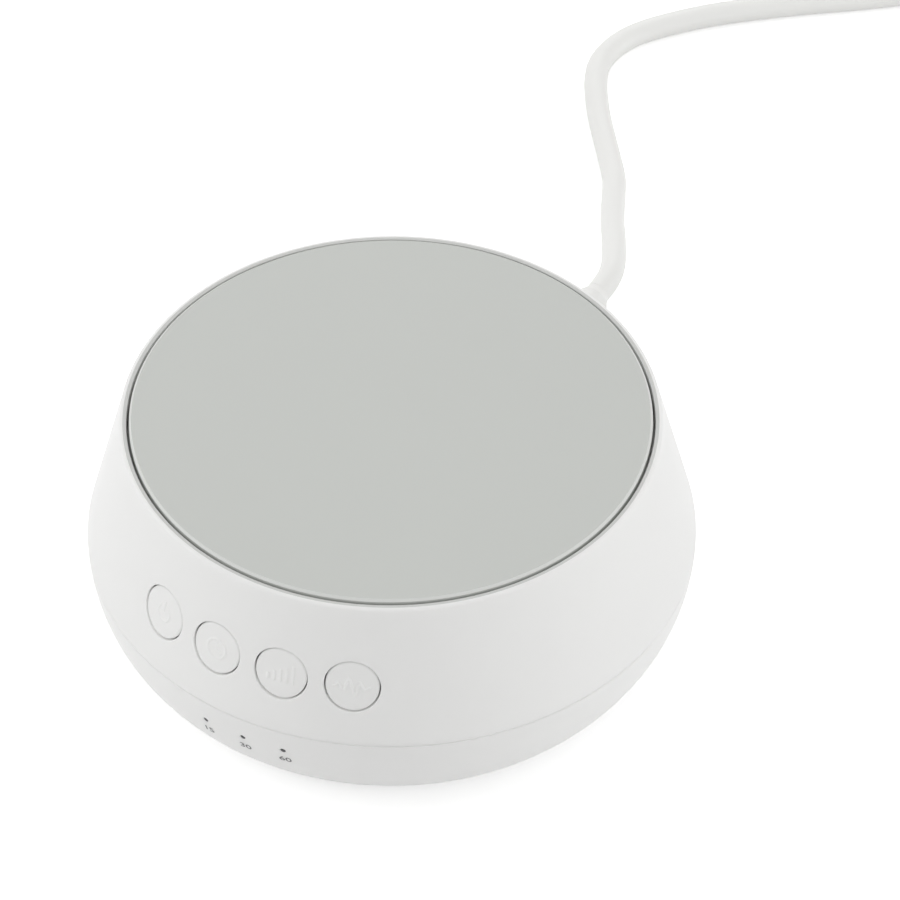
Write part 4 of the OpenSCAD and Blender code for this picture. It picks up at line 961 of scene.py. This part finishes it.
def basket_of():
    finish = Finish("painted_basket", Metallic=0.1, Roughness=0.4)
    peel = finish.grain(1.2, 3.0)
    finish.feed(finish.shader, {"Base_Color": finish.mix(peel, (0.02, 0.02, 0.022, 1), (0.035, 0.035, 0.038, 1))})
    return finish.bump(peel, 0.02)


def board_of():
    finish = Finish("green_board", Roughness=0.35)
    cells = finish.node("ShaderNodeTexBrick", {"offset": 0.37, "squash": 2.2}, {
        "Vector": finish.place, "Scale": 130.0, "Mortar_Size": 0.028, "Brick_Width": 0.9, "Row_Height": 0.32,
        "Color1": (0, 0, 0, 1), "Color2": (0, 0, 0, 1), "Mortar": (1, 1, 1, 1)})
    pads = finish.grain(2.4, 0.0) > 0.68
    finish.feed(finish.shader, {
        "Base_Color": finish.mix(pads, finish.mix(cells, (0.006, 0.075, 0.03, 1), (0.02, 0.17, 0.07, 1)),
                                 (0.5, 0.5, 0.48, 1)),
        "Metallic": pads * 0.6,
    })
    return finish.bump(cells, 0.02)


def sleeve_of():
    finish = Finish("can_sleeve", Roughness=0.3)
    parts = finish.node("ShaderNodeSeparateXYZ", None, {0: finish.place}, output=2)
    top = parts > 0.0182
    finish.feed(finish.shader, {
        "Base_Color": finish.mix(top, (0.02, 0.03, 0.09, 1), (0.6, 0.6, 0.6, 1)),
        "Metallic": top * 0.9,
    })
    return finish.bump(finish.grain(3.0, 2.0), 0.01)


def print_of():
    finish = Finish("grey_print", Roughness=0.6)
    ink = finish.grain(0.15, 2.0)
    finish.feed(finish.shader, {"Base_Color": finish.mix(ink, (0.14, 0.14, 0.145, 1), (0.2, 0.2, 0.205, 1))})
    return finish


FINISHES = {
    "shell": shell_finish, "cover": cover_finish, "black_plastic": black_finish, "light_plastic": nylon_finish,
    "clear_plastic": clear_finish, "cone_plastic": cone_of(), "spider_cloth": cloth_of(),
    "soft_rubber": rubber_finish, "foot_rubber": foot_finish, "basket_steel": basket_of(),
    "ferrite": ferrite_of(), "screw_steel": metal_of("plated_steel", (0.6, 0.6, 0.62), 0.32),
    "copper": winding_of(), "can_aluminium": sleeve_of(), "board": board_of(), "lead_jacket": lead_finish,
    "adapter_plastic": adapter_finish, "pin_brass": metal_of("plated_brass", (0.72, 0.69, 0.6), 0.25),
}
for row in frame["record"]["subparts"]:
    mesh = frame["nodes"][row["node"]].data
    mesh.materials.clear()
    mesh.materials.append(FINISHES[row["material_slot"]].material)
dressed = ([(upper, shell_finish), (lower, shell_finish), (disc, cover_finish), (lead, lead_finish),
            (plug, lead_finish), (adapter, adapter_finish), (windows, window_finish)]
           + [(b, shell_finish) for b in buttons] + [(p, print_of()) for p in prints]
           + [(s, rubber_finish) for s in surround] + [(s, FINISHES["spider_cloth"]) for s in spider])
for made, finish in dressed:
    made.data.materials.append(finish.material)

# %% [markdown]
# The photograph was taken in a light tent: white all round, soft and even, a little stronger from
# both sides than from the front. A white world gives the even part and seven soft square lamps
# give the rest. The floor looks white to the camera, and still takes the machine's shadow.

# %% Floor, world and lamps
floor_mesh = bpy.data.meshes.new("floor")
floor_mesh.from_pydata([(-4, -4, 0), (4, -4, 0), (4, 4, 0), (-4, 4, 0)], [], [(0, 1, 2, 3)])
floor = bpy.data.objects.new("floor", floor_mesh)
bpy.context.scene.collection.objects.link(floor)

sheet = Finish("white_sheet", Roughness=1.0, Base_Color=(0.8, 0.8, 0.8, 1.0))
sheet.shader.inputs["Specular IOR Level"].default_value = 0.0
seen = sheet.node("ShaderNodeLightPath", output="Is Camera Ray")
for ray in ("Is Glossy Ray", "Is Transmission Ray"):
    seen = seen.reckon("MAXIMUM", seen, sheet.node("ShaderNodeLightPath", output=ray))
paper = sheet.node("ShaderNodeBsdfDiffuse", None, {"Color": (1.0, 1.0, 1.0, 1.0)})
glow = sheet.node("ShaderNodeEmission", None, {"Color": (1.0, 1.0, 1.0, 1.0), "Strength": 0.36})
shown = sheet.node("ShaderNodeAddShader", None, {0: paper, 1: glow})
plain = Value(sheet, sheet.shader.outputs[0])
both = sheet.node("ShaderNodeMixShader", None, {0: seen, 1: plain, 2: shown})
sheet.feed(sheet.tree.nodes["Material Output"], {"Surface": both})
floor.data.materials.append(sheet.material)

bpy.context.scene.view_settings.view_transform = "Standard"
world = bpy.data.worlds.new("tent")
bpy.context.scene.world = world
world.use_nodes = True
sky = world.node_tree.nodes["Background"]
rays = world.node_tree.nodes.new("ShaderNodeLightPath")
white_for = rays.outputs["Is Camera Ray"]
for ray in ("Is Glossy Ray", "Is Transmission Ray"):
    either = world.node_tree.nodes.new("ShaderNodeMath")
    either.operation = "MAXIMUM"
    world.node_tree.links.new(white_for, either.inputs[0])
    world.node_tree.links.new(rays.outputs[ray], either.inputs[1])
    white_for = either.outputs[0]
strength = world.node_tree.nodes.new("ShaderNodeMapRange")
WORLD_LIGHT = 0.265
strength.inputs["To Min"].default_value, strength.inputs["To Max"].default_value = WORLD_LIGHT, 1.0
world.node_tree.links.new(white_for, strength.inputs["Value"])
world.node_tree.links.new(strength.outputs[0], sky.inputs["Strength"])
sky.inputs["Color"].default_value = (1.0, 1.0, 1.0, 1.0)


def softbox(name, turn, height, distance, size, watts):
    """A square lamp at a turn from the camera's own direction, facing the machine."""
    lamp = bpy.data.lights.new(name, "AREA")
    lamp.shape, lamp.size, lamp.energy = "SQUARE", size, watts
    made = bpy.data.objects.new(name, lamp)
    a = math.radians(CAMERA_TURN + turn)
    spot = Vector((distance * math.sin(a), -distance * math.cos(a), height))
    made.location = spot
    made.rotation_euler = (Vector((0, 0, 0.03)) - spot).to_track_quat("-Z", "Y").to_euler()
    bpy.context.scene.collection.objects.link(made)
    return made


lamps = [
    softbox("left", -95, 0.45, 1.0, 0.9, 4.45), softbox("right", 95, 0.45, 1.0, 0.9, 2.3),
    softbox("overhead", 0, 1.6, 0.01, 1.2, 4.5), softbox("behind", 180, 0.7, 1.1, 1.0, 5.4),
    softbox("front", 0, 0.7, 1.1, 1.0, 5.0), softbox("low_left", -80, 0.12, 1.1, 0.5, 0.7),
    softbox("low_right", 80, 0.12, 1.1, 0.5, 3.15),
]
print("lamps:", [(lamp.name, lamp.data.energy) for lamp in lamps])
